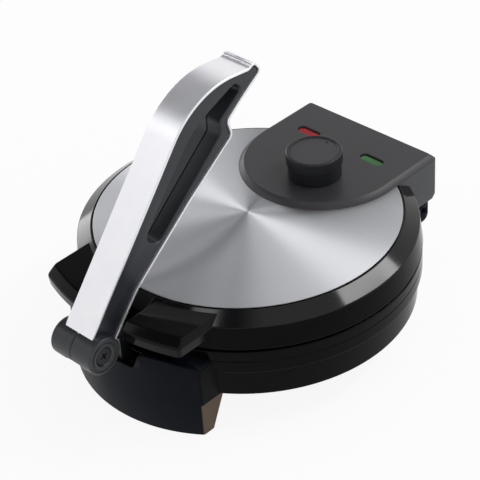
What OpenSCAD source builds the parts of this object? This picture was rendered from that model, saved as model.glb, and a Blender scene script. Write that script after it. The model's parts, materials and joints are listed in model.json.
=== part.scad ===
// Electric roti maker: round tub on two legs, hinged lid with control housing, press lever at the front.
// Millimetres. +X is the object's right, -Y its front with the lever, +Z up, the table is z 0.
// Parts are drawn about the axis of the round plates and then set back by frame_shift.

/* [Lid] */
// radius of the lid ring at its lower edge
lid_r = 122.2; // [100:0.1:150]
// how far the ring's wall leans in up to the foot of its sloping band
lid_draft = 2.2; // [1:0.1:4]
// width of the sloping band round the disc
band_w = 11.7; // [8:0.1:16]
// height of the foot of the sloping band
band_z = 84.65; // [80:0.05:90]
// height of the ring's lower edge
lid_bottom = 67.4; // [66:0.1:72]
// height of the steel disc's top
disc_z = 92.43; // [90:0.01:100]
// thickness of the steel disc
disc_t = 0.8; // [0.5:0.1:2]
// wall of the moulded covers
wall = 2.6; // [1.5:0.1:4]

/* [Wings] */
// half-width of the wings over both
wing_half = 64; // [50:0.5:70]
// half-width of the slot between the wings
slot_half = 21; // [15:0.5:30]
// height of the wings' deck
wing_z = 90; // [85:0.1:92]
// underside of the wings
wing_bottom = 77; // [72:0.5:80]
// how far the wings reach in front of the ring
wing_reach = 21.3; // [15:0.1:30]
// radius of the wings' front edge in plan
wing_r = 177.4; // [160:0.1:200]

/* [Base] */
// how far the base's rim lies inside the lid's edge
rim_in = 0.3; // [0:0.1:2]
// gap between the base's rim and the lid
rim_gap = 1.8; // [1:0.1:3]
// height of the ridge line on the rim band
ridge_z = 57.5; // [52:0.5:62]
// height at which the base steps in
step_z = 48; // [40:0.5:55]
// depth of that step
step_in = 2.6; // [1:0.1:5]
// height of the base's lower edge
base_bottom = 26.5; // [15:0.5:35]
// width of the tub's lower edge round the bottom cover
cover_in = 6.8; // [6:0.1:12]

/* [Plates] */
// width of the seat of the disc, beyond the cooking plates
plate_in = 5.3; // [4:0.1:10]
// thickness of both cooking plates
plate_t = 6; // [4:0.5:10]
// how far the lower plate stands above the base's rim
plate_proud = 0.6; // [0.2:0.1:1]
// gap between the plates
plate_gap = 1; // [0.5:0.1:3]
// radius of the heaters' ring
heater_r = 70; // [50:1:85]

/* [Legs] */
// half-width of the front leg
leg_half = 62; // [50:1:70]
// plan radius of the front leg's panel
leg_r = 108.5; // [90:0.5:125]
// how far the front leg stands in front of the tub
leg_reach = 17.7; // [14:0.1:24]
// how far the front leg reaches back under the tub
leg_under = 25.8; // [20:0.1:35]
// how far its rear edge slants forward towards the table
leg_lean = 14.1; // [5:0.1:20]
// corner radius of the front leg
leg_corner = 5; // [2:0.5:10]
// height of the front leg's panel
leg_top = 62; // [55:0.5:65]
// lower edge of both legs
leg_bottom = 0.8; // [0.5:0.1:3]
// half-width of the rear leg
rear_half = 50; // [40:1:55]

/* [Control housing] */
// half-width of the housing at the disc
house_half = 61.5; // [50:0.5:65]
// depth of the centre of its round front
house_c = 80.3; // [70:0.1:90]
// height of the housing over the disc
house_t = 4.07; // [4:0.01:8]
// round of its upper edge
house_round = 4; // [2:0.5:4]
// how far its rear wall lies behind the hinge axis
house_over = 10.5; // [8:0.5:16]
// height of its underside over the hinge axis
house_clear = 10.5; // [9:0.5:14]
// wall of the housing
house_wall = 2.4; // [1.5:0.1:3]

/* [Knob] */
// place of the knob to the right
knob_x = 9; // [0:0.5:15]
// place of the knob to the rear
knob_y = 61; // [50:0.5:70]
// radius of the knob
knob_r = 20.3; // [15:0.1:25]
// height of the knob over the housing
knob_h = 19.5; // [12:0.5:25]
// height of its lower skirt
skirt_h = 10; // [6:0.5:11]

/* [Lever] */
// half-width of the silver wrap
lever_half = 13; // [10:0.5:16]
// thickness of the silver wrap
wrap_t = 1.8; // [1:0.1:3]
// half-width of the black core
core_half = 12; // [9:0.5:13]
// radius of the hub
hub_r = 13.5; // [11:0.1:16]
// half-width of the hub
hub_half = 19; // [15:0.5:22]
// how far the hub's axis lies in front of the base's rim
hub_reach = 34.4; // [30:0.1:40]
// height of the hub's axis
hub_z = 70.9; // [65:0.1:75]
// radius of the axle
axle_r = 4; // [3:0.1:5]
// radius of the bracket's eye round the axle
eye_r = 11; // [8:0.1:12]
// half-width of the bracket's eye
eye_half = 8; // [5:0.5:10]

/* [Hinge] */
// how far the hinge axis lies behind the base's rim
hinge_reach = 2.6; // [2:0.1:6]
// height of the hinge axis
hinge_z = 49.5; // [45:0.5:52]
// radius of the hinge pins
pin_r = 3; // [2:0.1:4]
// middle of each hinge barrel
barrel_x = 40; // [30:1:45]
// half-length of each hinge barrel
barrel_half = 7; // [4:0.5:10]

/* [Hidden] */
$fn = 96;
run = 0.05;       // radial clearance of turning fits
fit = 0.2;        // side clearance
// radii and heights that follow from the lid's and the base's
band_r = lid_r - lid_draft;
disc_r = band_r - band_w;
disc_bottom = disc_z - disc_t;
plate_r = disc_r - plate_in;
base_r = lid_r - rim_in;
base_top = lid_bottom - rim_gap;
tub_r = base_r - step_in;
cover_r = tub_r - cover_in;
cover_top = base_bottom + 1.7;
lower_z = base_top + plate_proud;
upper_z = lower_z + plate_gap;
wing_c = wing_r - lid_r - wing_reach;
leg_front = tub_r + leg_reach;
leg_c = leg_front - leg_r;
leg_back = tub_r - leg_under;
hub_y = base_r + hub_reach;
hinge_y = base_r + hinge_reach;
house_z = disc_z + house_t;
house_rear = hinge_y + house_over;
house_bottom = hinge_z + house_clear;
knob_z = house_z + knob_h;
knob_step = house_z + skirt_h;
// puts the middle of the whole object's outline over the frame's origin
frame_shift = (hub_y + hub_r - house_rear) / 2;
heater_tube = 4;
heater_flat = 3.4;
screw_r = 1.5;
black = "#17181c";
satin = "#4b4a4e";
steel = "#c8c9cc";
silver = "#e6e6ea";
alu = "#9a9a98";
dark = "#26272b";
lever_lean = 50.1;
shield_r = heater_r + 14;
post_r = plate_r - 7;
post_turns = [30, 150, 270];
cover_turns = [35, 145, 215, 325];
front_foot = [leg_half - 17, -leg_front + 19.7];
rear_foot = [rear_half - 12, tub_r - 22.3];
lens_y = house_rear - 35.5;
lens_x = [-31, 29.3];
lens_l = 19.6;    // length of the lamps' windows
lens_w = 6.6;

module placed() { translate([0, frame_shift, 0]) children(); }

// plane helpers: an outline in (x, z) drawn along Y, and one in (y, z) drawn along X
module along_y(y0, y1) { translate([0, y1, 0]) rotate([90, 0, 0]) linear_extrude(y1 - y0) children(); }
module along_x(x0, x1) { translate([x0, 0, 0]) rotate([90, 0, 90]) linear_extrude(x1 - x0) children(); }
module mirrored() { children(); mirror([1, 0, 0]) children(); }
module x_rod(r, x0, x1) { translate([x0, 0, 0]) rotate([0, 90, 0]) cylinder(r = r, h = x1 - x0); }
module at_hub() { translate([0, -hub_y, hub_z]) children(); }
module at_hinge() { translate([0, hinge_y, hinge_z]) children(); }

// outlines given as corners [a, b, round], anticlockwise
function dir(a, b) = [b[0] - a[0], b[1] - a[1]] / norm([b[0] - a[0], b[1] - a[1]]);
function prev(c, i) = c[(i + len(c) - 1) % len(c)];
function next(c, i) = c[(i + 1) % len(c)];
function cross2(u, v) = u[0] * v[1] - u[1] * v[0];
// the same outline moved inwards by d, with its rounds to match
function inset(c, d) = [for (i = [0 : len(c) - 1])
    let (u = dir(prev(c, i), c[i]), v = dir(c[i], next(c, i)), k = d / (1 + u * v))
    [c[i][0] - k * (u[1] + v[1]), c[i][1] + k * (u[0] + v[0]),
     c[i][2] == 0 ? 0 : max(0, c[i][2] - sign(cross2(u, v)) * d)]];
// points of an outline, each round as an arc
function rounded(c) = [for (i = [0 : len(c) - 1])
    let (u = dir(prev(c, i), c[i]), v = dir(c[i], next(c, i)), s = sign(cross2(u, v)), r = c[i][2],
         turn = acos(max(-1, min(1, u * v))), n = max(2, ceil(turn / 9)), t = r * tan(turn / 2),
         m = [c[i][0] - t * u[0] - s * r * u[1], c[i][1] - t * u[1] + s * r * u[0]])
    each (r < 0.05 || turn < 1) ? [[c[i][0], c[i][1]]] :
        [for (k = [0 : n]) let (a = s * turn * k / n)
         m + r * s * [u[1] * cos(a) + u[0] * sin(a), -u[0] * cos(a) + u[1] * sin(a)]]];

// screw along +Z: pan head under z 0, shank above
module screw(length, head = 3, thick = 1.6) {
    difference() {
        union() {
            translate([0, 0, -thick]) cylinder(r = head, h = thick, $fn = 32);
            cylinder(r = screw_r, h = length, $fn = 32);
        }
        for (a = [0, 90]) rotate([0, 0, a]) translate([-1.6, -0.35, -thick - 1]) cube([3.2, 0.7, 1.9]);
    }
}
module slot_hole(length, width, height) {
    half = (length - width) / 2;
    for (x = [-half, half]) translate([x, 0, 0]) cylinder(r = width / 2, h = height, $fn = 32);
    translate([-half, -width / 2, 0]) cube([2 * half, width, height]);
}

// round tub with its rim band, bosses, the front pad of the lever bracket and the rear pad of the hinge block
module base_outline() {
    polygon([[0, base_top], [base_r - 0.8, base_top], [base_r, base_top - 0.8], [base_r, ridge_z + 0.6],
        [base_r - 0.5, ridge_z], [base_r, ridge_z - 0.6], [base_r, step_z + 0.6], [base_r - 0.6, step_z],
        [tub_r, step_z], [tub_r - 0.8, base_bottom + 0.8], [tub_r - 1.6, base_bottom], [0, base_bottom]]);
}
module base_hollow() {
    seat = cover_r - 4.5;
    rim = plate_r + 3.6;
    polygon([[0, base_bottom - 1], [cover_r + fit, base_bottom - 1], [cover_r + fit, cover_top],
        [seat, cover_top], [seat, cover_top + 2.2], [tub_r - 0.8 - wall, cover_top + 2.2],
        [tub_r - wall, step_z + 2.2], [base_r - wall, step_z + 2.8], [base_r - wall, base_top - 2.4],
        [rim + 4, base_top - 2.4], [rim + 2, base_top - 4.4], [rim + 2, base_top - 7], [rim, base_top - 7],
        [rim, base_top - 3], [rim + 2.6, base_top - 0.6], [rim + 4, base_top], [rim + 4, base_top + 1],
        [0, base_top + 1]]);
}
pad_y = base_r + 3.6;       // face of the pad that carries the lever bracket
pad_low = base_bottom + 4.1;
pad_half = 18;
bracket_screw_x = 11.5;
bracket_screw_z = pad_low + 7.4;
tab_half = barrel_x - barrel_half - 1.5;
tab_y = hinge_y - 4.7;      // face of the tab that carries the hinge block
tab_low = hinge_z - 8;
block_screw_x = 22;
block_screw_z = hinge_z - 5;
shelf_z = 42;               // underside of the ledges that carry the lower plate's posts
boss_r = 4.5;
module base_shell() placed() color(black) difference() {
    union() {
        rotate_extrude($fn = 192) difference() { base_outline(); base_hollow(); }
        difference() {
            union() {
                translate([-pad_half, -pad_y, pad_low]) cube([2 * pad_half, 12, step_z - 1 - pad_low]);
                translate([-tab_half, tab_y - 14.8, tab_low]) cube([2 * tab_half, 14.8, 6]);
                translate([0, gland_y - 5, gland_z]) rotate([-90, 0, 0]) cylinder(r = gland_r + 1.3, h = 5, $fn = 48);
            }
            cylinder(r = tub_r - wall - 2, h = 60, $fn = 192);
        }
        for (a = cover_turns) rotate([0, 0, a]) {
            translate([cover_r - 5, 0, cover_top + 0.9]) cylinder(r = boss_r, h = 11, $fn = 32);
            translate([cover_r - 5, -1.5, cover_top + 1.6]) cube([10, 3, 9.4]);
        }
        for (a = post_turns) rotate([0, 0, a]) {
            translate([post_r - 6, -7, shelf_z]) cube([tub_r - 1.3 - post_r + 6, 14, 3]);
            translate([post_r + 4.5, -1.2, shelf_z - 11]) cube([tub_r - 1.8 - post_r - 4.5, 2.4, 11.5]);
        }
    }
    for (a = cover_turns) rotate([0, 0, a]) translate([cover_r - 5, 0, cover_top - 1])
        cylinder(r = screw_r + run, h = 10, $fn = 32);
    for (a = post_turns) rotate([0, 0, a]) translate([post_r, 0, shelf_z - 2])
        cylinder(r = screw_r + run, h = 6, $fn = 32);
    leg_screw_places() translate([0, 0, base_bottom - 1]) cylinder(r = screw_r + run, h = 9, $fn = 32);
    mirrored() {
        translate([bracket_screw_x, -pad_y - 1, bracket_screw_z]) rotate([-90, 0, 0])
            cylinder(r = screw_r + run, h = 10, $fn = 32);
        translate([block_screw_x, tab_y - 11.8, block_screw_z]) rotate([-90, 0, 0])
            cylinder(r = screw_r + run, h = 14, $fn = 32);
    }
    translate([0, gland_y - 8, gland_z]) rotate([-90, 0, 0]) cylinder(r = gland_r + run, h = 12, $fn = 48);
}
gland_y = tub_r + 0.3;
gland_z = base_bottom + 7.1;
gland_r = 5;
leg_screw_r = tub_r - 4.7;
module leg_screw_places() {
    for (a = [-104, -76, 74, 106]) rotate([0, 0, a]) translate([leg_screw_r, 0, 0]) children();
}

// round cover under the tub
module bottom_cover() placed() color(dark) difference() {
    union() {
        translate([0, 0, base_bottom + 0.2]) cylinder(r = cover_r, h = cover_top - base_bottom - 0.2, $fn = 192);
        for (x = [-30, 30]) translate([x - 1, -40, cover_top]) cube([2, 80, 3]);
    }
    for (s = [-1, 1], i = [-3 : 3]) translate([14 * i, s * 52, base_bottom - 1]) rotate([0, 0, 90])
        slot_hole(26, 4, 4);
    for (a = cover_turns) rotate([0, 0, a]) translate([cover_r - 5, 0, base_bottom - 1])
        cylinder(r = screw_r + fit, h = 4, $fn = 32);
    translate([0, 0, base_bottom + 0.1]) difference() {
        cylinder(r = 22, h = 0.7, $fn = 96);
        translate([0, 0, -1]) cylinder(r = 20, h = 3, $fn = 96);
    }
}
module cover_screws() placed() color(steel)
    for (a = cover_turns) rotate([0, 0, a]) translate([cover_r - 5, 0, base_bottom + 0.2]) screw(8);

// plan of the front leg: a wide arc with rounded ends, d inside its outer face
function leg_plan(d) =
    let (r = leg_r - d, half = leg_half - d, q = max(leg_corner - d, 1), x = half - q,
         y = -leg_c - sqrt((r - q) * (r - q) - x * x), phi = atan2(x, -leg_c - y))
    concat([for (i = [-12 : 12]) let (a = phi * i / 12) [r * sin(a), -leg_c - r * cos(a)]],
           [for (i = [1 : 6]) let (b = phi + (90 - phi) * i / 6) [x + q * sin(b), y - q * cos(b)]],
           [[half, -leg_back + 30], [-half, -leg_back + 30]],
           [for (i = [6 : -1 : 1]) let (b = phi + (90 - phi) * i / 6) [-x - q * sin(b), y - q * cos(b)]]);
roof = base_bottom - wall;
// depth of the leg's slanted rear edge at height z
function leg_rear(z) = -leg_back - leg_lean * (base_bottom - z) / (base_bottom - leg_bottom);
module front_leg() placed() color(black) difference() {
    intersection() {
        translate([0, 0, leg_bottom]) linear_extrude(leg_top - leg_bottom) polygon(leg_plan(0));
        along_x(-leg_half - 1, leg_half + 1) polygon(rounded([[-leg_front - 13, leg_bottom, 0],
            [leg_rear(leg_bottom), leg_bottom, 1], [-leg_back, base_bottom, 0], [-leg_back, leg_top - 1, 0],
            [-leg_back + 3.5, leg_top, 0], [-leg_front + 2, leg_top, 0], [-leg_front - 2, leg_top - 2.5, 0],
            [-leg_front - 13, leg_top - 14, 0]]));
    }
    // the tub above the roof
    rotate_extrude($fn = 192) offset_base(0.15);
    translate([-pad_half - 12, -pad_y - 0.15, base_bottom]) cube([2 * pad_half + 24, 30, 50]);
    // hollow inside, open at the bottom and towards the tub
    difference() {
        intersection() {
            translate([0, 0, -1]) linear_extrude(leg_top - wall + 1) polygon(leg_plan(wall));
            along_x(-leg_half, leg_half) polygon([[-leg_front, -1], [leg_rear(-1) - 3, -1],
                [-leg_back - 3, base_bottom], [-leg_back - 3, leg_top - 2], [-leg_front, leg_top - 2]]);
        }
        translate([0, 0, roof]) cylinder(r = tub_r, h = wall, $fn = 192);
        for (s = [-1, 1]) translate([s * front_foot[0], front_foot[1], 4]) cylinder(r = 8, h = roof, $fn = 48);
    }
    // opening for the lever bracket
    along_y(-leg_front - 13, -leg_back) polygon(rounded([[-20, step_z, 3], [20, step_z, 3], [25, 60, 4], [33, leg_top + 4, 0],
        [-33, leg_top + 4, 0], [-25, 60, 4]]));
    leg_screw_places() translate([0, 0, roof - 1]) cylinder(r = screw_r + fit, h = 5, $fn = 32);
}
// solid of revolution of the base, grown by d
module offset_base(d) {
    polygon([[0, base_top + d], [base_r + d, base_top + d], [base_r + d, step_z - d], [tub_r + d, step_z - d],
        [tub_r - 0.8 + d, base_bottom], [0, base_bottom]]);
}
rear_r = tub_r - 1.7;       // radius of the rear leg's curved wall
rear_y = tub_r - 35.3;      // its straight wall
module rear_leg() placed() color(black) difference() {
    intersection() {
        translate([-rear_half, rear_y, leg_bottom]) cube([2 * rear_half, 40, base_bottom - leg_bottom]);
        cylinder(r = rear_r, h = 60, $fn = 192);
    }
    difference() {
        intersection() {
            translate([wall - rear_half, rear_y + wall, -1]) cube([2 * rear_half - 2 * wall, 40, roof + 1]);
            cylinder(r = rear_r - wall, h = 60, $fn = 192);
        }
        for (s = [-1, 1]) translate([s * rear_foot[0], rear_foot[1], 4]) cylinder(r = 8, h = roof, $fn = 48);
    }
    leg_screw_places() {
        translate([0, 0, roof - 1]) cylinder(r = screw_r + fit, h = 5, $fn = 32);
        translate([0, 0, roof - 4]) cylinder(r = leg_screw_head + fit, h = 4.1, $fn = 32);
    }
}
leg_screw_head = 1.8;
module leg_screws() placed() color(steel)
    leg_screw_places() translate([0, 0, roof]) screw(8, head = leg_screw_head);
module foot(p) translate([p[0], p[1], 0]) {
    difference() {
        cylinder(r = 6, h = 4, $fn = 48);
        translate([0, 0, -1]) cylinder(r = 2.5, h = 1.8, $fn = 32);
    }
}
module rubber_feet() placed() color("#3a3a3a") mirrored() { foot(front_foot); foot(rear_foot); }

// cooking plates: flat face, rounded rim, a low rib where the heater lies
module lower_plate() placed() color("#3a3a3c") rotate_extrude($fn = 192) polygon([[0, lower_z - plate_t],
    [plate_r, lower_z - plate_t], [plate_r, lower_z - 2], [plate_r - 0.6, lower_z - 0.6],
    [plate_r - 2, lower_z], [0, lower_z]]);
module upper_plate() placed() color("#3a3a3c") rotate_extrude($fn = 192) polygon([[0, upper_z],
    [plate_r - 2, upper_z], [plate_r - 0.6, upper_z + 0.6], [plate_r, upper_z + 2],
    [plate_r, upper_z + plate_t], [0, upper_z + plate_t]]);
// heater: a tube flattened where it lies on its plate at z 0, its two ends turned down for deep, each with a pin
module heater(start, deep, pin) {
    rotate([0, 0, start]) rotate_extrude(angle = 330, $fn = 96) translate([heater_r, -heater_flat])
        intersection() { circle(r = heater_tube, $fn = 32); square([20, 2 * heater_flat], center = true); }
    for (a = [start, start - 30]) rotate([0, 0, a]) translate([heater_r, 0, -deep]) {
        cylinder(r = 3.2, h = deep, $fn = 32);
        translate([0, 0, -pin]) cylinder(r = 1.5, h = pin + 1, $fn = 24);
    }
}
module lower_element() placed() color(alu) translate([0, 0, lower_z - plate_t]) heater(105, 13, 4);
module upper_element() placed() color(alu) translate([0, 0, upper_z + plate_t]) mirror([0, 0, 1])
    heater(-75, 10, 3);
// sheet dish that lies with its rim on the plate at z 0 and hangs down over the heater
module shield(deep, turns) {
    t = 0.8;
    difference() {
        rotate_extrude($fn = 128) polygon([[shield_r - 8 + t, -t], [shield_r, -t], [shield_r, 0], [shield_r - 8, 0],
            [shield_r - 8 - t, t - deep], [0, t - deep], [0, -deep], [shield_r - 8, -deep]]);
        for (a = turns) rotate([0, 0, a]) translate([heater_r, 0, -deep - 1]) cylinder(r = 4, h = deep, $fn = 32);
    }
}
lower_deep = 11;
upper_deep = 9;
module lower_shield() placed() color(steel) translate([0, 0, lower_z - plate_t]) shield(lower_deep, [75, 105]);
module upper_shield() placed() color(steel) translate([0, 0, upper_z + plate_t]) mirror([0, 0, 1])
    shield(upper_deep, [-75, -105]);
// spacers between the plates and the ledges of the tub and the ring
module lower_posts() placed() color(steel) for (a = post_turns) rotate([0, 0, a]) translate([post_r, 0, shelf_z + 3])
    difference() {
        cylinder(r = 4, h = lower_z - plate_t - shelf_z - 3, $fn = 32);
        translate([0, 0, -1]) cylinder(r = screw_r + run, h = 10, $fn = 32);
    }
module lower_post_screws() placed() color(steel) for (a = post_turns) rotate([0, 0, a])
    translate([post_r, 0, shelf_z]) screw(10);
ledge_z = 81;               // underside of the ledges that hold the upper plate's posts
module upper_posts() placed() color(steel) for (a = post_turns) rotate([0, 0, a])
    translate([post_r, 0, upper_z + plate_t]) difference() {
        cylinder(r = 4, h = ledge_z - upper_z - plate_t, $fn = 32);
        translate([0, 0, 2]) cylinder(r = screw_r + run, h = 10, $fn = 32);
    }
module upper_post_screws() placed() color(steel) for (a = post_turns) rotate([0, 0, a])
    translate([post_r, 0, ledge_z + 2]) mirror([0, 0, 1]) screw(6);

// inner wiring parts
module thermal_fuse() placed() color("#b8860b") translate([40, 10, lower_z - plate_t - lower_deep]) {
    translate([-9, -6, -0.8]) cube([18, 12, 0.8]);
    translate([0, 0, -2.6]) { x_rod(2, -7, 7, $fn = 32); x_rod(0.6, -12, 12, $fn = 16); }
}
module terminal_block() placed() color("#d8d2c0") translate([-14, 70, cover_top]) difference() {
    cube([28, 14, 11]);
    for (x = [5, 14, 23]) translate([x, -1, 6.5]) rotate([-90, 0, 0]) cylinder(r = 2, h = 16, $fn = 24);
    for (x = [5, 14, 23]) translate([x, 7, 6.5]) cylinder(r = 1.6, h = 6, $fn = 24);
}
// grommet in the tub's rear wall where the mains lead enters
module cord_gland() placed() color("#3a3a3a") translate([0, 0, gland_z]) rotate([-90, 0, 0]) difference() {
    union() {
        translate([0, 0, gland_y - 7]) cylinder(r = gland_r, h = 8, $fn = 48);
        intersection() {
            translate([0, 0, gland_y - 7]) cylinder(r = gland_r + 1.2, h = 2, $fn = 48);
            translate([-10, -20, gland_y - 20]) cube([20, 20 + gland_z - pad_low, 20]);
        }
        translate([0, 0, gland_y]) cylinder(r = gland_r + 1.2, h = 1.5, $fn = 48);
        translate([0, 0, gland_y + 1]) cylinder(r1 = gland_r + 0.6, r2 = gland_r - 0.7, h = 8, $fn = 48);
    }
    translate([0, 0, gland_y - 20]) cylinder(r = 3.5, h = 40, $fn = 48);
}

// block behind the tub that holds the hinge pins
block_half = barrel_x + 17;
block_low = hinge_z - 9.5;
block_rear = hinge_y + 6;
block_top = hinge_z + 7;
pin_half = 13;
module hinge_block() placed() color("#20232c") difference() {
    along_x(-block_half, block_half) polygon(rounded([[tab_y - 20, block_low, 0], [block_rear, block_low, 6],
        [block_rear, block_top - 1.5, 0], [block_rear - 1.5, block_top, 0], [tab_y - 20, block_top, 0]]));
    rotate_extrude($fn = 192) offset_base(0.15);
    translate([-tab_half - 0.15, tab_y - 20, block_low - 1]) cube([2 * tab_half + 0.3, 20, 9]);
    mirrored() {
        translate([barrel_x - barrel_half - 1, hinge_y - 7.2, hinge_z - 6.7]) cube([2 * barrel_half + 2, 30, 30]);
        at_hinge() x_rod(pin_r + run, barrel_x - pin_half, barrel_x + 30, $fn = 48);
        translate([block_screw_x, tab_y - 1.8, block_screw_z]) rotate([-90, 0, 0]) {
            cylinder(r = screw_r + fit, h = 14, $fn = 32);
            translate([0, 0, hinge_y + 3 - tab_y + 1.8]) cylinder(r = 3.4, h = 10, $fn = 32);
        }
    }
}
module block_screws() placed() color(steel) mirrored() translate([block_screw_x, hinge_y + 3, block_screw_z])
    rotate([90, 0, 0]) screw(14);
module hinge_pins() placed() color(steel) mirrored() at_hinge()
    x_rod(pin_r, barrel_x - pin_half, barrel_x + pin_half, $fn = 48);

// bracket that carries the lever's axle in front of the leg
module lever_bracket() placed() color(dark) difference() {
    union() {
        at_hub() x_rod(eye_r, -eye_half, eye_half);
        along_x(-eye_half, eye_half) polygon(rounded([[-hub_y, hub_z - arm_half, 0],
            [-pad_y - arm_depth, hub_z - arm_half, 3], [-pad_y - arm_depth, arm_low, 0], [-pad_y, arm_low, 0],
            [-pad_y, hub_z + arm_half, 5], [-hub_y, hub_z + arm_half, 0]]));
        translate([2 - pad_half, -pad_y - 4, arm_low]) cube([2 * pad_half - 4, 4, 15]);
    }
    at_hub() x_rod(axle_r + run, -hub_half - 1, hub_half + 1, $fn = 48);
    mirrored() translate([bracket_screw_x, -pad_y - 15, bracket_screw_z]) rotate([-90, 0, 0])
        cylinder(r = screw_r + fit, h = 20, $fn = 32);
}
arm_half = 3.2;
arm_depth = 8.5;
arm_low = pad_low - 0.1;
module bracket_screws() placed() color(steel) mirrored()
    translate([bracket_screw_x, -pad_y - 4, bracket_screw_z]) rotate([-90, 0, 0]) screw(11, head = 2.8);

// lid ring with its two wings
groove_r = disc_r + 1.2;
seat_low = disc_bottom - wall;
module ring_profile() {
    t = wall;
    polygon([[plate_r + 3, lid_bottom], [lid_r - 0.6, lid_bottom], [lid_r, lid_bottom + 0.6], [band_r, band_z],
        [groove_r + 0.6, disc_z - 0.5], [groove_r, disc_z - 0.9], [groove_r, disc_z - 2],
        [disc_r + 0.1, disc_z - 2], [disc_r + 0.1, disc_bottom], [plate_r, disc_bottom],
        [plate_r, seat_low], [disc_r, seat_low], [band_r - 2.4, band_z - 2], [lid_r - t - 0.6, lid_bottom + 2.2],
        [plate_r + 3, lid_bottom + 2.2]]);
}
module wing_solid(d) intersection() {
    translate([0, wing_c, 0]) rotate_extrude($fn = 360) polygon([[60, wing_bottom - 0.01], [wing_r - 2.4 - d, wing_bottom - 0.01],
        [wing_r - 0.8 - d, 81], [wing_r - d, 84.4], [wing_r - 0.6 - d, 86.2], [wing_r - 2.6 - d, 88.2],
        [wing_r - 5.6 - d, wing_z - d], [60, wing_z - d]]);
    along_y(-160, -95) polygon([[slot_half + d, wing_bottom - 1], [wing_half - 0.6 - d, wing_bottom - 1],
        [wing_half - d, 84.2], [wing_half - 2 - d, wing_z - d], [wing_half - 2 - d, wing_z + 1],
        [slot_half + 0.8 + d, wing_z + 1], [slot_half + 0.8 + d, wing_z - d], [slot_half + d, wing_z - 0.8 - d]]);
}
module lid_ring() placed() color(black) difference() {
    union() {
        rotate_extrude($fn = 192) ring_profile();
        difference() {
            mirrored() wing_solid(0);
            rotate_extrude($fn = 192) polygon([[0, 60], [lid_r - 2, 60], [band_r - 1, band_z - 0.5],
                [groove_r + 1, disc_z - 2], [0, disc_z - 2]]);
            cylinder(r = groove_r + 0.6, h = 120, $fn = 192);
            mirrored() difference() {
                translate([0, 0, -2.4]) wing_solid(2.2);
                cylinder(r = lid_r, h = 100, $fn = 192);
            }
        }
        for (a = post_turns) rotate([0, 0, a]) {
            translate([post_r - 6, -7, ledge_z]) cube([band_r - 1.5 - post_r + 6, 14, 2]);
            translate([post_r + 6, -1.2, ledge_z]) cube([5, 2.4, seat_low + 1 - ledge_z]);
        }
    }
    for (a = post_turns) rotate([0, 0, a]) translate([post_r, 0, ledge_z - 1]) cylinder(r = screw_r + run, h = 4, $fn = 32);
    lid_screw_places() cylinder(r = screw_r + fit, h = 120, $fn = 32);
}
// two screws pass the disc's seat and two the disc alone, all into the housing
seat_screw_x = 45;
seat_screw_y = sqrt(pow(disc_r - 2.8, 2) - pow(seat_screw_x, 2));
disc_screw_x = house_half - 23.5;
disc_screw_y = house_c - 30.3;
module lid_screw_places() mirrored() {
    translate([seat_screw_x, seat_screw_y, 0]) children();
    translate([disc_screw_x, disc_screw_y, 0]) children();
}

// steel disc with holes under the housing
module top_disc() placed() color(steel) difference() {
    translate([0, 0, disc_bottom]) cylinder(r = disc_r, h = disc_t, $fn = 192);
    translate([knob_x, knob_y, 80]) cylinder(r = 5, h = 20, $fn = 48);
    lid_screw_places() cylinder(r = screw_r + fit, h = 120, $fn = 32);
}
module lid_screws() placed() color(steel) mirrored() {
    translate([seat_screw_x, seat_screw_y, seat_low]) screw(disc_z + 2.6 - seat_low, head = 2.2);
    translate([disc_screw_x, disc_screw_y, disc_bottom]) screw(disc_t + 2.8, head = 2.6);
}

// control housing: round front on the disc, straight sides and a deep rear box
module house_side(d) {
    // section across, d inside the outer faces
    h = house_half - d;
    q = max(house_round - d, 1.5);
    polygon(rounded([[-h, house_bottom - 9, 0], [h, house_bottom - 9, 0], [h, house_z - d, q],
        [-h, house_z - d, q]]));
}
module house_solid(d, low) {
    h = house_half - d;
    q = max(house_round - d, 1.5);
    intersection() {
        along_y(house_c, house_rear + 1) house_side(d);
        along_x(-70, 70) polygon(rounded([[house_c, low, 0], [house_rear - 3 - d, low, 0],
            [house_rear - d, low + 3, 0], [house_rear - d, house_z - d, q], [house_c, house_z - d, 0]]));
    }
    translate([0, house_c, 0]) rotate([0, 0, 180]) rotate_extrude(angle = 180, $fn = 192)
        polygon(concat([[0, 70], [h, 70]], [for (i = [0 : 5]) [h - q + q * cos(18 * i), house_z - d - q + q * sin(18 * i)]],
            [[0, house_z - d]]));
}
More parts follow.
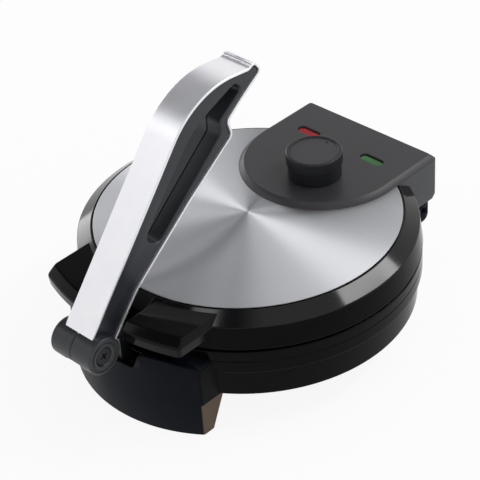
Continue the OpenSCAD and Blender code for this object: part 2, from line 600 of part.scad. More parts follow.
// everything the housing must leave to the ring and the disc, grown by d
module under_house(d) {
    rotate_extrude($fn = 192) polygon([[0, 50], [lid_r + d, 50], [lid_r + d, lid_bottom], [band_r + d, band_z + d],
        [groove_r + 1.4 + d, disc_z], [0, disc_z]]);
    translate([-lid_r, 0, 50]) cube([2 * lid_r, lid_r - 22, disc_z - 50]);
}
boss_x = house_half - 10.5;
boss_y = hinge_y - 3.5;
bracket_top = house_bottom + 4;
module control_housing() placed() color(satin) difference() {
    difference() {
        house_solid(0, house_bottom);
        under_house(0.3);
    }
    difference() {
        house_solid(house_wall, house_bottom - 6);
        under_house(0.3 + 1.6);
        mirrored() {
            translate([boss_x, boss_y, bracket_top]) cylinder(r = boss_r, h = 40, $fn = 32);
            translate([boss_x, boss_y - 1.2, bracket_top]) cube([12, 2.4, 40]);
        }
        lid_screw_places() translate([0, 0, disc_z]) cylinder(r = 4, h = 5, $fn = 32);
        lens_places() translate([-13, -6, disc_z]) difference() {
            cube([26, 12, 5]);
            translate([1, 1, -1]) cube([24, 10, 7]);
        }
    }
    // hollow over the disc in the round front
    translate([0, 0, disc_z - 0.01]) difference() {
        translate([0, house_c, 0]) cylinder(r = house_half - 4.5, h = 1.68, $fn = 192);
        lid_screw_places() cylinder(r = 4, h = 5, $fn = 32);
        translate([-house_half, house_c, -1]) cube([2 * house_half, 80, 5]);
    }
    mirrored() translate([boss_x, boss_y, bracket_top - 1]) cylinder(r = screw_r + run, h = 14, $fn = 32);
    lid_screw_places() translate([0, 0, disc_z - 1]) cylinder(r = screw_r + run, h = 4, $fn = 32);
    translate([knob_x, knob_y, 80]) cylinder(r = 5, h = 20, $fn = 48);
    lens_places() translate([0, 0, disc_z]) slot_hole(lens_l + 2 * fit, lens_w + 2 * fit, 10);
    // hairline joints where the moulding's front insert meets its sides
    for (a = insert_turns) translate([0, house_c, house_z]) rotate([0, 0, a])
        translate([house_half - house_round - 0.4, -0.2, -0.35 - house_round]) cube([6, 0.4, house_round - 0.4]);
}
insert_turns = [-148, -21];
module lens_places() for (x = lens_x) translate([x, lens_y, 0]) children();
board_t = 1;
module lamp_boards() placed() color("#4a6b3a") lens_places() translate([-9.5, -4.5, disc_z]) cube([19, 9, board_t]);
module lens() translate([0, lens_y, disc_z + board_t]) {
    slot_hole(lens_l, lens_w, 1.5);
    translate([0, 0, 1.5]) slot_hole(lens_l - 1, lens_w - 1, 0.3);
}
module red_lens() placed() color("#aa0f19") translate([lens_x[0], 0, 0]) lens();
module green_lens() placed() color("#326432") translate([lens_x[1], 0, 0]) lens();

// cover that closes the housing's rear box from below, and the hinge bracket above it
module rear_plate(d, z, t) difference() {
    translate([d - house_half, lens_y - 4.5, z]) cube([2 * (house_half - d), house_rear - lens_y + 3.9 - d, t]);
    cylinder(r = lid_r + 2.1, h = 120, $fn = 192);
}
module housing_cover() placed() color(black) difference() {
    rear_plate(house_wall + 0.15, house_bottom, 2);
    mirrored() {
        translate([barrel_x - barrel_half - 0.5, hinge_y - 5.1, 50]) cube([2 * barrel_half + 1, 10.2, 20]);
        translate([boss_x, boss_y, 50]) cylinder(r = 3.3, h = 20, $fn = 32);
    }
}
module hinge_bracket() placed() color(dark) difference() {
    union() {
        rear_plate(house_wall + 1, house_bottom + 2, 2);
        mirrored() {
            at_hinge() x_rod(5.8, barrel_x - barrel_half, barrel_x + barrel_half, $fn = 48);
            along_x(barrel_x - barrel_half, barrel_x + barrel_half) polygon([[hinge_y - 5.5, hinge_z + 1.8],
                [hinge_y + 5.5, hinge_z + 1.8], [hinge_y + 4.6, house_bottom + 2], [hinge_y - 4.6, house_bottom + 2]]);
        }
    }
    mirrored() {
        at_hinge() x_rod(pin_r + run, 20, 60, $fn = 48);
        translate([boss_x, boss_y, 50]) cylinder(r = screw_r + fit, h = 20, $fn = 32);
    }
}
module housing_screws() placed() color(steel) mirrored() translate([boss_x, boss_y, house_bottom + 2]) screw(12);

// thermostat under the disc, its spindle and the knob
spindle_low = disc_z - 8.43;
spindle_top = knob_z - 6;
module thermostat() placed() color("#d8d2c0") translate([knob_x, knob_y, 0]) difference() {
    union() {
        translate([0, 0, spindle_low - 1.2]) cylinder(r = 12, h = disc_bottom - spindle_low + 0.2, $fn = 64);
        translate([-15, -7, disc_bottom - 1]) cube([30, 14, 1]);
        for (x = [-6, 6]) translate([x - 1.5, 8, spindle_low]) cube([3, 9, 0.8]);
    }
    translate([0, 0, spindle_low]) cylinder(r = pin_r + run, h = 20, $fn = 48);
}
module thermostat_spindle() placed() color(steel) translate([knob_x, knob_y, spindle_low]) difference() {
    cylinder(r = pin_r, h = spindle_top - spindle_low, $fn = 48);
    translate([1.6, -4, 18]) cube([4, 8, 20]);
}
module control_knob() placed() color(dark) translate([knob_x, knob_y, 0]) difference() {
    union() {
        translate([0, 0, house_z + 0.25]) cylinder(r = knob_r - 1, h = knob_step - house_z, $fn = 96);
        rotate_extrude($fn = 128) polygon([[0, knob_step], [knob_r - 0.3, knob_step], [knob_r, knob_step + 0.5],
            [knob_r, knob_z - 1], [knob_r - 0.4, knob_z - 0.3], [knob_r - 1.2, knob_z], [knob_r - 2.2, knob_z],
            [knob_r - 2.9, knob_z - 0.6], [knob_r - 2.9, knob_z - 2.2], [0, knob_z - 2.2]]);
    }
    difference() {
        translate([0, 0, house_z]) cylinder(r = knob_r - 3.2, h = knob_z - house_z - 4.6, $fn = 96);
        cylinder(r = 5.5, h = knob_z, $fn = 48);
        for (a = [45, 135]) rotate([0, 0, a]) translate([-knob_r, -0.8, knob_step - 2]) cube([2 * knob_r, 1.6, 10]);
    }
    difference() {
        translate([0, 0, house_z]) cylinder(r = pin_r + run, h = spindle_top - house_z, $fn = 48);
        translate([1.6 + run, -4, spindle_low + 18 + run]) cube([4, 8, 20]);
    }
}
module knob_cap() placed() color(satin) translate([knob_x, knob_y, knob_z - 2.2]) difference() {
    cylinder(r = knob_r - 3.1, h = 1.4, $fn = 96);
    translate([0, knob_r - 6.5, 0.9]) cylinder(r = 1, h = 1, $fn = 24);
}

// moves an outline given from the hub's axis to its place
function from_hub(c) = [for (p = c) [p[0] - hub_y, p[1] + hub_z, p[2]]];
// lever outline from the side: low end in the hub, rear face up to the knuckle and the lip, front face down
side = from_hub([[10.3, -6.9, 0], [17.6, 2.8, 3], [40, 28.8, 60], [93.6, 70.7, 0], [135, 99.7, 6],
    [130.7, 112.7, 3], [146.1, 122.5, 30], [166.5, 136, 1.5], [158.9, 146.4, 4.5], [151.1, 139.1, 4],
    [115.3, 153.8, 46], [-3.2, 12.1, 0], [-8.7, 1.1, 0]]);
// the finger opening through both halves
grip = from_hub([[62.8, 52.4, 6], [92.5, 77.5, 0], [125.1, 104.7, 5], [124.9, 114.9, 5], [146.8, 129.7, 3.5],
    [141.3, 136.1, 4], [117.9, 126.7, 20], [98.8, 116.3, 40], [75.7, 91.2, 60], [63.1, 76, 60],
    [50.3, 59.6, 6]]);
// room that the bracket needs as the lever swings, about the hub's axis
module swing_room() {
    h = 80;
    at_hub() along_x(-eye_half - 0.6, eye_half + 0.6) polygon(concat([[0, 0]],
        [for (a = [-158, -125, -90, -55, -20, 27]) h * [cos(a), sin(a)]]));
}
module hub_room() {
    at_hub() {
        x_rod(eye_r + 0.35, -eye_half - 0.6, eye_half + 0.6);
        x_rod(axle_r + run, -30, 30, $fn = 48);
        mirrored() x_rod(cap_r + 0.3, cap_in, 30, $fn = 64);
        mirrored() translate([hub_half - 0.8, 0, 0]) rotate([0, 90, 0]) difference() {
            cylinder(r = 10.8, h = 2, $fn = 64);
            cylinder(r = 9.2, h = 2, $fn = 64);
        }
    }
}
cap_r = 6;
cap_in = 14;
module lever_strip() placed() color(silver) difference() {
    along_x(-lever_half, lever_half) difference() {
        polygon(rounded(side));
        polygon(rounded(inset(side, wrap_t)));
    }
    at_hub() x_rod(hub_r + 0.1, -30, 30);
    intersection() { swing_room(); translate([-20, -hub_y - 30, hub_z - 60]) cube([40, 80, 80]); }
    // two fine grooves across the lip
    for (g = lip_grooves) translate([-lever_half - 1, g[0] - hub_y, g[1] + hub_z]) rotate([g[2], 0, 0])
        translate([0, -0.3, -0.45]) cube([2 * lever_half + 2, 0.6, 1]);
}
// their places from the hub's axis and the turn of the surface there
lip_grooves = [[154.2, 143.1, 42], [156.6, 145.1, 35]];
module lever_half(s) difference() {
    union() {
        along_x(min(0, s * (core_half - 1.5)), max(0, s * (core_half - 1.5))) polygon(rounded(inset(side, wrap_t)));
        along_x(min(0, s * core_half), max(0, s * core_half)) polygon(rounded(inset(side, wrap_t + 0.5)));
        at_hub() x_rod(hub_r, min(0, s * hub_half), max(0, s * hub_half));
    }
    along_x(-20, 20) polygon(rounded(grip));
    // pocket inside the lower part
    along_x(-core_half + 2.5, core_half - 2.5) intersection() {
        polygon(rounded(inset(side, wrap_t + 3)));
        translate([-hub_y, hub_z]) rotate(lever_lean) translate([20, -30]) square([54, 60]);
    }
    hub_room();
    swing_room();
}
module lever_half_left() placed() color(dark) lever_half(-1);
module lever_half_right() placed() color(dark) lever_half(1);
module lever_axle() placed() color(steel) at_hub() x_rod(axle_r, -cap_in, cap_in, $fn = 48);
module hub_cap(s) at_hub() difference() {
    x_rod(cap_r, min(s * cap_in, s * (hub_half - 1)), max(s * cap_in, s * (hub_half - 1)), $fn = 64);
    for (a = [20, 110]) rotate([a, 0, 0]) translate([s > 0 ? hub_half - 2.5 : -hub_half - 0.5, -3, -0.6])
        cube([3, 6, 1.2]);
}
module hub_cap_left() placed() color(dark) hub_cap(-1);
module hub_cap_right() placed() color(dark) hub_cap(1);

base_shell();
bottom_cover();
cover_screws();
front_leg();
rear_leg();
leg_screws();
rubber_feet();
lower_plate();
lower_element();
lower_shield();
lower_posts();
lower_post_screws();
thermal_fuse();
terminal_block();
cord_gland();
hinge_block();
block_screws();
hinge_pins();
lever_bracket();
bracket_screws();
lid_ring();
top_disc();
lid_screws();
upper_plate();
upper_element();
upper_shield();
upper_posts();
upper_post_screws();
control_housing();
lamp_boards();
red_lens();
green_lens();
housing_cover();
hinge_bracket();
housing_screws();
thermostat();
thermostat_spindle();
control_knob();
knob_cap();
lever_strip();
lever_half_left();
lever_half_right();
lever_axle();
hub_cap_left();
hub_cap_right();
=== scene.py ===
import json
import math
import bpy
import bmesh
import numpy as np
from mathutils import Matrix, Vector
from mathutils.geometry import tessellate_polygon


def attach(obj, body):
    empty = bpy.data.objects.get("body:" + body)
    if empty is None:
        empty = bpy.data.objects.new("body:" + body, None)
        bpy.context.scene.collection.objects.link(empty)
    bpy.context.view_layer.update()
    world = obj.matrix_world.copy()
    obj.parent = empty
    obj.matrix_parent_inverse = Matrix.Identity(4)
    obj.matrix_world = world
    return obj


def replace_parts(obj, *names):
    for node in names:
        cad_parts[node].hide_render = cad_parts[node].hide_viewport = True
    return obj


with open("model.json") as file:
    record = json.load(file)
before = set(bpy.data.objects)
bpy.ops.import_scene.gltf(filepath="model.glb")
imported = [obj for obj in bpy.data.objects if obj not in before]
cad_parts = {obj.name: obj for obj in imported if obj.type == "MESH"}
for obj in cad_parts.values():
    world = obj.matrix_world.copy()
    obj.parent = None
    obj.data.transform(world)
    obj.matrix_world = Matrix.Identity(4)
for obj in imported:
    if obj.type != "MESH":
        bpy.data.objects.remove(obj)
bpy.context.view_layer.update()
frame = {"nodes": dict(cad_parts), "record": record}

print("frame loaded:", len(frame["nodes"]), "nodes")

# All sizes are in millimetres about the axis of the round plates; plateAxis is where that axis
# stands in the frame, and place() turns points into metres of the frame.
plateAxis = np.array([0.0, 17.4, 0.0])


def place(points):
    return (np.asarray(points, float) + plateAxis) / 1000.0


# Camera at the photograph's angle
view = {"at": (703.6, -687.5, 778.0), "lens": 128.77, "sensor": 36.0,
        "right": (0.72259, 0.68881, -0.05837), "up": (-0.37021, 0.45691, 0.80882),
        "back": (0.58379, -0.56283, 0.58516)}
cameraData = bpy.data.cameras.new("camera")
cameraData.lens = view["lens"]
cameraData.sensor_width = view["sensor"]
cameraData.clip_start, cameraData.clip_end = 0.05, 20
camera = bpy.data.objects.new("camera", cameraData)
bpy.context.scene.collection.objects.link(camera)
turn = Matrix((view["right"], view["up"], view["back"])).transposed()
camera.matrix_world = Matrix.Translation(Vector(place(view["at"]))) @ turn.to_4x4()
bpy.context.scene.camera = camera
bpy.context.scene.view_settings.view_transform = "Standard"


# Materials
def linear(hexCode, alpha=1.0):
    # sRGB hex to linear: the usual curve, straight below 0.04045
    c = np.array([int(hexCode[i:i + 2], 16) / 255 for i in (1, 3, 5)])
    c = np.where(c <= 0.04045, c / 12.92, ((c + 0.055) / 1.055) ** 2.4)
    return (*c, alpha)


def addNode(tree, kind, settings=None, inputs=None):
    # one node with its settings, input values and incoming links
    node = tree.nodes.new(kind)
    for key, value in (settings or {}).items():
        setattr(node, key, value)
    for key, value in (inputs or {}).items():
        if isinstance(value, bpy.types.NodeSocket):
            tree.links.new(value, node.inputs[key])
        else:
            node.inputs[key].default_value = value
    return node


def newMaterial(name, inputs):
    # inputs that a node drives later keep their plain value here, for viewers that read no nodes
    material = bpy.data.materials.new(name)
    material.use_nodes = True
    tree = material.node_tree
    shader = tree.nodes["Principled BSDF"]
    for key, value in inputs.items():
        shader.inputs[key].default_value = value
    return material, tree, shader


def mottled(material, tree, shader, low, high, sizeMm, bumpMm=0.0, grainMm=0.4, rough=None):
    # colour drifts between two close shades over sizeMm; a fine grain of grainMm lifts the surface by bumpMm
    coord = addNode(tree, "ShaderNodeTexCoord")
    drift = addNode(tree, "ShaderNodeTexNoise", None, {
        "Vector": coord.outputs["Object"], "Scale": 1000.0 / sizeMm, "Detail": 3.0, "Roughness": 0.55})
    ramp = addNode(tree, "ShaderNodeValToRGB", None, {"Fac": drift.outputs["Fac"]})
    ramp.color_ramp.elements[0].position, ramp.color_ramp.elements[1].position = 0.3, 0.7
    ramp.color_ramp.elements[0].color, ramp.color_ramp.elements[1].color = linear(low), linear(high)
    tree.links.new(ramp.outputs["Color"], shader.inputs["Base Color"])
    if rough:
        spread = addNode(tree, "ShaderNodeMapRange", None, {
            "Value": drift.outputs["Fac"], "From Min": 0.3, "From Max": 0.7, "To Min": rough[0], "To Max": rough[1]})
        tree.links.new(spread.outputs["Result"], shader.inputs["Roughness"])
    if bumpMm:
        grain = addNode(tree, "ShaderNodeTexNoise", None, {
            "Vector": coord.outputs["Object"], "Scale": 1000.0 / grainMm, "Detail": 2.0})
        bump = addNode(tree, "ShaderNodeBump", None, {
            "Height": grain.outputs["Fac"], "Distance": bumpMm / 1000.0, "Strength": 0.6})
        tree.links.new(bump.outputs["Normal"], shader.inputs["Normal"])
    return material


def dullBelow(tree, shader, edgeMm, low, high):
    # the wall under edgeMm mirrors less than the polished band above it
    coord = addNode(tree, "ShaderNodeTexCoord")
    split = addNode(tree, "ShaderNodeSeparateXYZ", None, {0: coord.outputs["Object"]})
    level = addNode(tree, "ShaderNodeMapRange", None, {
        "Value": split.outputs["Z"], "From Min": (edgeMm - 0.4) / 1000, "From Max": (edgeMm + 0.4) / 1000,
        "To Min": low, "To Max": high})
    tree.links.new(level.outputs["Result"], shader.inputs["Specular IOR Level"])


def paintedEndReflection(tree, shader, endMm, topMm):
    # beyond endMm to either side the colour goes over to a painted brown-grey reflection under topMm and to black
    # above it
    coord = addNode(tree, "ShaderNodeTexCoord")
    split = addNode(tree, "ShaderNodeSeparateXYZ", None, {0: coord.outputs["Object"]})
    out = addNode(tree, "ShaderNodeMath", {"operation": "ABSOLUTE"}, {0: split.outputs["X"]})
    end = addNode(tree, "ShaderNodeMapRange", None, {
        "Value": out.outputs[0], "From Min": (endMm - 0.2) / 1000, "From Max": (endMm + 0.3) / 1000})
    low = addNode(tree, "ShaderNodeMapRange", None, {
        "Value": split.outputs["Z"], "From Min": (topMm + 0.3) / 1000, "From Max": (topMm - 0.3) / 1000})
    # 5d5145 is the painted reflection on the end faces; above the tub's underside they turn black
    shade = addNode(tree, "ShaderNodeMixRGB", None, {
        "Fac": low.outputs[0], "Color1": linear("#060608"), "Color2": linear("#5d5145")})
    base = shader.inputs["Base Color"].links[0].from_socket
    mix = addNode(tree, "ShaderNodeMixRGB", None, {"Fac": end.outputs[0], "Color1": base, "Color2": shade.outputs[0]})
    tree.links.new(mix.outputs[0], shader.inputs["Base Color"])


def spinLines(tree, shader):
    # fine rings about the disc's middle, 0.9 mm apart, as coarse as the render can show
    coord = addNode(tree, "ShaderNodeTexCoord")
    centred = addNode(tree, "ShaderNodeMapping", None, {
        "Vector": coord.outputs["Object"], "Location": (0, -plateAxis[1] / 1000, 0)})
    split = addNode(tree, "ShaderNodeSeparateXYZ", None, {"Vector": centred.outputs["Vector"]})
    flat = addNode(tree, "ShaderNodeCombineXYZ", None, {"X": split.outputs["X"], "Y": split.outputs["Y"]})
    radius = addNode(tree, "ShaderNodeVectorMath", {"operation": "LENGTH"}, {0: flat.outputs["Vector"]})
    lines = addNode(tree, "ShaderNodeTexNoise", {"noise_dimensions": "1D"}, {
        "W": radius.outputs["Value"], "Scale": 1100.0, "Detail": 4.0, "Roughness": 0.7})
    spread = addNode(tree, "ShaderNodeMapRange", None, {
        "Value": lines.outputs["Fac"], "From Min": 0.3, "From Max": 0.7, "To Min": 0.5, "To Max": 0.6})
    tree.links.new(spread.outputs["Result"], shader.inputs["Roughness"])
    ramp = addNode(tree, "ShaderNodeValToRGB", None, {"Fac": lines.outputs["Fac"]})
    ramp.color_ramp.elements[0].color, ramp.color_ramp.elements[1].color = linear("#c5c6ca"), linear("#d2d3d6")
    tree.links.new(ramp.outputs["Color"], shader.inputs["Base Color"])
    along = addNode(tree, "ShaderNodeTangent", {"direction_type": "RADIAL", "axis": "Z"})
    tree.links.new(along.outputs["Tangent"], shader.inputs["Tangent"])


# high-gloss ABS, injection moulded in a polished tool: deep black with a faint long waviness, and a duller wall
# below the lid's chamfer line
glossAbs, glossTree, glossShader = newMaterial("polishedBlackAbs", {
    "IOR": 1.5, "Specular IOR Level": 0.2, "Roughness": 0.1})
mottled(glossAbs, glossTree, glossShader, "#060607", "#0a0a0c", 40, bumpMm=0.012, grainMm=9, rough=(0.07, 0.13))
dullBelow(glossTree, glossShader, 84.4, 0.05, 0.26)
# ABS from a fine spark-eroded tool: satin black that greys under light
satinAbs = mottled(*newMaterial("satinBlackAbs", {"IOR": 1.5, "Specular IOR Level": 0.35, "Roughness": 0.38}),
                   "#111216", "#16171b", 30, bumpMm=0.01, grainMm=0.7, rough=(0.34, 0.42))
# the tub's black, dulled a little by its deeper tool
tubAbs = mottled(*newMaterial("mouldedBlackAbs", {"IOR": 1.5, "Specular IOR Level": 0.06, "Roughness": 0.12}),
                 "#050506", "#08080a", 40, bumpMm=0.012, grainMm=9, rough=(0.09, 0.15))
# the wings' black between the two
wingAbs = mottled(*newMaterial("wingBlackAbs", {"IOR": 1.5, "Specular IOR Level": 0.1, "Roughness": 0.1}),
                  "#0a0a0b", "#0e0d0e", 40, bumpMm=0.012, grainMm=9, rough=(0.08, 0.13))
# the lever's halves: a lighter charcoal that shows its rounds
leverAbs = mottled(*newMaterial("satinCharcoalAbs", {"IOR": 1.5, "Specular IOR Level": 0.5, "Roughness": 0.4}),
                   "#1d1f24", "#23252a", 30, bumpMm=0.01, grainMm=0.7, rough=(0.36, 0.44))
# the same plastic with a blue cast on the leg and the hinge block
navyAbs = mottled(*newMaterial("satinNavyAbs", {"IOR": 1.5, "Specular IOR Level": 0.05, "Roughness": 0.4}),
                  "#0c0f17", "#10131b", 35, bumpMm=0.01, grainMm=0.7, rough=(0.36, 0.44))
# the leg's own: the same, with a painted brown-grey reflection on the end faces below the tub's underside
legAbs, legTree, legShader = newMaterial("satinLegAbs", {"IOR": 1.5, "Specular IOR Level": 0.05, "Roughness": 0.4})
mottled(legAbs, legTree, legShader, "#0b0e15", "#0f121a", 35, bumpMm=0.01, grainMm=0.7, rough=(0.36, 0.44))
paintedEndReflection(legTree, legShader, 63.2, 26.3)
# the housing panel: satin grey ABS
greyAbs = mottled(*newMaterial("satinGreyAbs", {"IOR": 1.5, "Specular IOR Level": 0.4, "Roughness": 0.42}),
                  "#29272a", "#2f2d31", 45, bumpMm=0.012, grainMm=0.6, rough=(0.38, 0.46))
# silver metallic lacquer on a moulded wrap
silverLacquer = mottled(*newMaterial("silverLacquer", {"Metallic": 0.75, "Roughness": 0.34}),
                        "#ececf1", "#f3f3f6", 25, bumpMm=0.004, grainMm=0.5, rough=(0.31, 0.37))
# stainless sheet brushed in circles: highlights spread into cones across the disc
spunSteel, spunTree, spunShader = newMaterial("spunStainless", {
    "Metallic": 1.0, "Base Color": linear("#c9cacd"), "Roughness": 0.55, "Anisotropic": 0.95,
    "Anisotropic Rotation": 0.25})
spinLines(spunTree, spunShader)
# natural rubber feet and grommet
rubber = mottled(*newMaterial("mouldedRubber", {"IOR": 1.5, "Roughness": 0.75}), "#1b1b1c", "#242425", 12,
                 bumpMm=0.05, grainMm=0.9)
# cast aluminium plates under a dark non-stick coat
castPlate = mottled(*newMaterial("nonStickCastAluminium", {"Metallic": 0.3, "Roughness": 0.38}), "#2a2a2c",
                    "#333336", 18, bumpMm=0.02, grainMm=0.8, rough=(0.34, 0.44))
# zinc plate on the screws and the pressed sheet, and the scaled tube of the heaters
zincSteel = mottled(*newMaterial("zincPlatedSteel", {"Metallic": 1.0, "Roughness": 0.35}), "#a9abae", "#c2c3c6", 8,
                    rough=(0.28, 0.42))
heaterSteel = mottled(*newMaterial("heaterTubeSteel", {"Metallic": 1.0, "Roughness": 0.5}), "#7a756c",
                      "#8f8a80", 10, rough=(0.45, 0.6))
# enamel on the lever's bracket
bracketPaint = mottled(*newMaterial("blackStoveEnamel", {"IOR": 1.5, "Roughness": 0.35}), "#121214", "#18181b", 15,
                       bumpMm=0.01, grainMm=0.8)
# inner wiring parts
fuseBrass = mottled(*newMaterial("turnedBrass", {"Metallic": 1.0, "Roughness": 0.3}), "#b48c42", "#c49c50", 5)
ivoryPlastic = mottled(*newMaterial("ivoryPhenolic", {"IOR": 1.55, "Roughness": 0.5}), "#cfc8b2", "#d9d3c0", 10)
boardGreen = mottled(*newMaterial("lacqueredBoard", {"IOR": 1.5, "Roughness": 0.4}), "#3f5f35", "#4a6b3e", 6)
# tinted acrylic lamp windows
redAcrylic = mottled(*newMaterial("redAcrylic", {"IOR": 1.49, "Specular IOR Level": 0.2, "Roughness": 0.12}),
                     "#8c0710", "#a4101a", 9, rough=(0.08, 0.16))
greenAcrylic = mottled(*newMaterial("greenAcrylic", {"IOR": 1.49, "Specular IOR Level": 0.2, "Roughness": 0.12}),
                       "#285a28", "#3a7038", 9, rough=(0.08, 0.16))
slotMaterials = {"gloss_black": glossAbs, "black_cover": satinAbs, "satin_navy": navyAbs, "satin_black": satinAbs,
                 "satin_grey": greyAbs, "rubber": rubber, "coated_plate": castPlate, "heater_tube": heaterSteel,
                 "sheet_steel": zincSteel, "brass": fuseBrass, "ivory_plastic": ivoryPlastic,
                 "black_steel": bracketPaint, "brushed_disc": spunSteel, "green_board": boardGreen,
                 "red_lens": redAcrylic, "green_lens": greenAcrylic, "silver_wrap": silverLacquer,
                 "screw_steel": zincSteel}
for part in frame["record"]["subparts"]:
    for holder in frame["nodes"][part["node"]].material_slots:
        holder.material = slotMaterials[part["material_slot"]]
print("materials ready")


# Surfaces
def gridFaces(nu, nv, closedU=False, closedV=False):
    # quads between neighbouring rows and columns of an nu by nv grid, wrapping where closed
    u = np.arange(nu if closedU else nu - 1)[:, None]
    v = np.arange(nv if closedV else nv - 1)[None, :]
    up, vp = (u + 1) % nu, (v + 1) % nv
    return np.stack([u * nv + v, up * nv + v, up * nv + vp, u * nv + vp], -1).reshape(-1, 4)


def newPiece(name, points, faces, material, body=None, slot=None, sharp=40, merge=True):
    # points in millimetres; doubles are merged and faces turned outwards before the finish; cutters have no body
    mesh = bpy.data.meshes.new(name)
    mesh.from_pydata(place(points).tolist(), [], [list(map(int, f)) for f in faces])
    work = bmesh.new()
    work.from_mesh(mesh)
    if merge:
        bmesh.ops.remove_doubles(work, verts=work.verts, dist=1e-6)
        bmesh.ops.dissolve_degenerate(work, edges=work.edges, dist=1e-7)
    bmesh.ops.recalc_face_normals(work, faces=work.faces)
    work.to_mesh(mesh)
    work.free()
    mesh.shade_smooth()
    mesh.set_sharp_from_angle(angle=math.radians(sharp))
    mesh.materials.append(material)
    piece = bpy.data.objects.new(name, mesh)
    bpy.context.scene.collection.objects.link(piece)
    if body:
        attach(piece, body)
    return piece


def insetCorners(corners, d):
    # each corner moves along the bisector so that every side shifts inwards by d; rounds shrink or grow with it
    c = np.asarray(corners, float)
    a, e = np.roll(c, 1, 0)[:, :2], np.roll(c, -1, 0)[:, :2]
    u = c[:, :2] - a
    v = e - c[:, :2]
    u /= np.linalg.norm(u, axis=1)[:, None]
    v /= np.linalg.norm(v, axis=1)[:, None]
    k = d / (1 + (u * v).sum(1))
    side = np.sign(u[:, 0] * v[:, 1] - u[:, 1] * v[:, 0])
    out = c.copy()
    out[:, 0] -= k * (u[:, 1] + v[:, 1])
    out[:, 1] += k * (u[:, 0] + v[:, 0])
    out[:, 2] = np.maximum(c[:, 2] - side * d, 0.02)
    return out


def roundOutline(corners, stepDeg=4.0, closed=True, guard=0.35):
    # corner list [a, b, round]: every round becomes an arc, with a guard point on each side of it so that
    # long flats keep their own shading; where two rounds don't fit on a side, both shrink
    c = np.asarray(corners, float)
    n = len(c)
    sides = np.roll(c[:, :2], -1, 0) - c[:, :2]
    lengths = np.linalg.norm(sides, axis=1)
    after = sides / lengths[:, None]
    before = np.roll(after, 1, 0)
    bends = np.arctan2(before[:, 0] * after[:, 1] - before[:, 1] * after[:, 0], (before * after).sum(1))
    if not closed:
        bends[[0, -1]] = 0.0
    reach = c[:, 2] * np.tan(np.abs(bends) / 2)
    fit = np.minimum(1.0, 0.98 * lengths / np.maximum(reach + np.roll(reach, -1), 1e-9))
    reach = reach * np.minimum(fit, np.roll(fit, 1))
    room = np.maximum(lengths - reach - np.roll(reach, -1), 0.0) * 0.3
    points = []
    for i in range(n):
        if not closed and i in (0, n - 1):
            points.append(c[i, :2][None])
            continue
        u, v, t, bend = before[i], after[i], reach[i], bends[i]
        r = t / math.tan(abs(bend) / 2) if abs(bend) > 1e-6 else 0.0
        steps = max(2, int(math.ceil(abs(math.degrees(bend)) / stepDeg)))
        s = math.copysign(1.0, bend)
        a = np.linspace(0, bend, steps + 1)[:, None]
        middle = c[i, :2] - t * u + s * r * np.array([-u[1], u[0]])
        arc = middle + r * s * (np.array([u[1], -u[0]]) * np.cos(a) + u * np.sin(a))
        points += [(c[i, :2] - (t + min(guard, room[i - 1])) * u)[None], arc,
                   (c[i, :2] + (t + min(guard, room[i])) * v)[None]]
    return np.concatenate(points)


def capFaces(loops):
    # triangles that fill a flat outline with holes; loops are (index, 2D points)
    flat = [[Vector((p[0], p[1], 0)) for p in pts] for _, pts in loops]
    index = np.concatenate([idx for idx, _ in loops])
    return [[index[k] for k in tri] for tri in tessellate_polygon(flat)]


def revolved(profile, steps=288, closed=True, centre=(0.0, 0.0)):
    # the profile (radius, height) turned about a standing axis through centre
    a = np.linspace(0, 2 * np.pi, steps, endpoint=False)[:, None]
    r, z = profile[:, 0][None], profile[:, 1][None]
    points = np.stack([centre[0] + r * np.cos(a), centre[1] + r * np.sin(a), z + 0 * a], -1)
    return points.reshape(-1, 3), gridFaces(steps, len(profile), True, closed)


# how stacked puts an outline's (a, b) and its height onto the axes
alongX, alongY, alongZ = (1, 2, 0), (0, 2, 1), (0, 1, 2)


def stacked(outlines, heights, order=alongZ, capHigh=True):
    # outlines of equal length at rising heights, joined into walls, with flat ends
    n = len(outlines[0])
    flat = np.stack([np.concatenate([o, np.full((n, 1), h)], 1) for o, h in zip(outlines, heights)])
    points = flat.reshape(-1, 3)
    faces = list(gridFaces(len(outlines), n, False, True)) + capFaces([(np.arange(n), outlines[0])])
    if capHigh:
        faces += capFaces([(np.arange(n) + (len(outlines) - 1) * n, outlines[-1])])
    out = np.empty_like(points)
    for k, axis in enumerate(order):
        out[:, axis] = points[:, k]
    return out, faces


def turnedX(outline, axis, steps, side=1):
    # the profile (x, radius) turned about a line along X through axis (y, z); side -1 mirrors it
    a = np.linspace(0, 2 * np.pi, steps, endpoint=False)[:, None]
    x, q = outline[:, 0][None], outline[:, 1][None]
    points = np.stack([side * x + 0 * a, axis[0] + q * np.cos(a), axis[1] + q * np.sin(a)], -1)
    return points.reshape(-1, 3), gridFaces(steps, len(outline), True, True)


def atX(x, outline):
    # an outline (y, z) as points on the plane at x
    return np.concatenate([np.full((len(outline), 1), x), outline], 1)


def prismX(corners, half, edge, guard=0.35):
    # outline along X with its end edges rounded by edge
    corners = np.array(corners, float)
    plans, heights = [], []
    for k in np.radians(np.linspace(0, 90, 5)):
        plans.append(roundOutline(insetCorners(corners, edge * (1 - math.sin(k))), 10, guard=guard))
        heights.append(half - edge * (1 - math.cos(k)))
    return stacked(plans + plans[::-1], [-h for h in heights] + heights[::-1], order=alongX)


def boxOutline(a0, a1, b0, b1):
    return np.array([(a0, b0), (a1, b0), (a1, b1), (a0, b1)], float)


def discOutline(a, b, r, steps=48):
    t = np.linspace(0, 2 * np.pi, steps, endpoint=False)
    return np.stack([a + r * np.cos(t), b + r * np.sin(t)], 1)


def barCutter(name, outline, low, high, order=alongX):
    # a closed bar for carve, with the outline as its section
    return newPiece(name, *stacked([outline, outline], [low, high], order=order), satinAbs, merge=False)


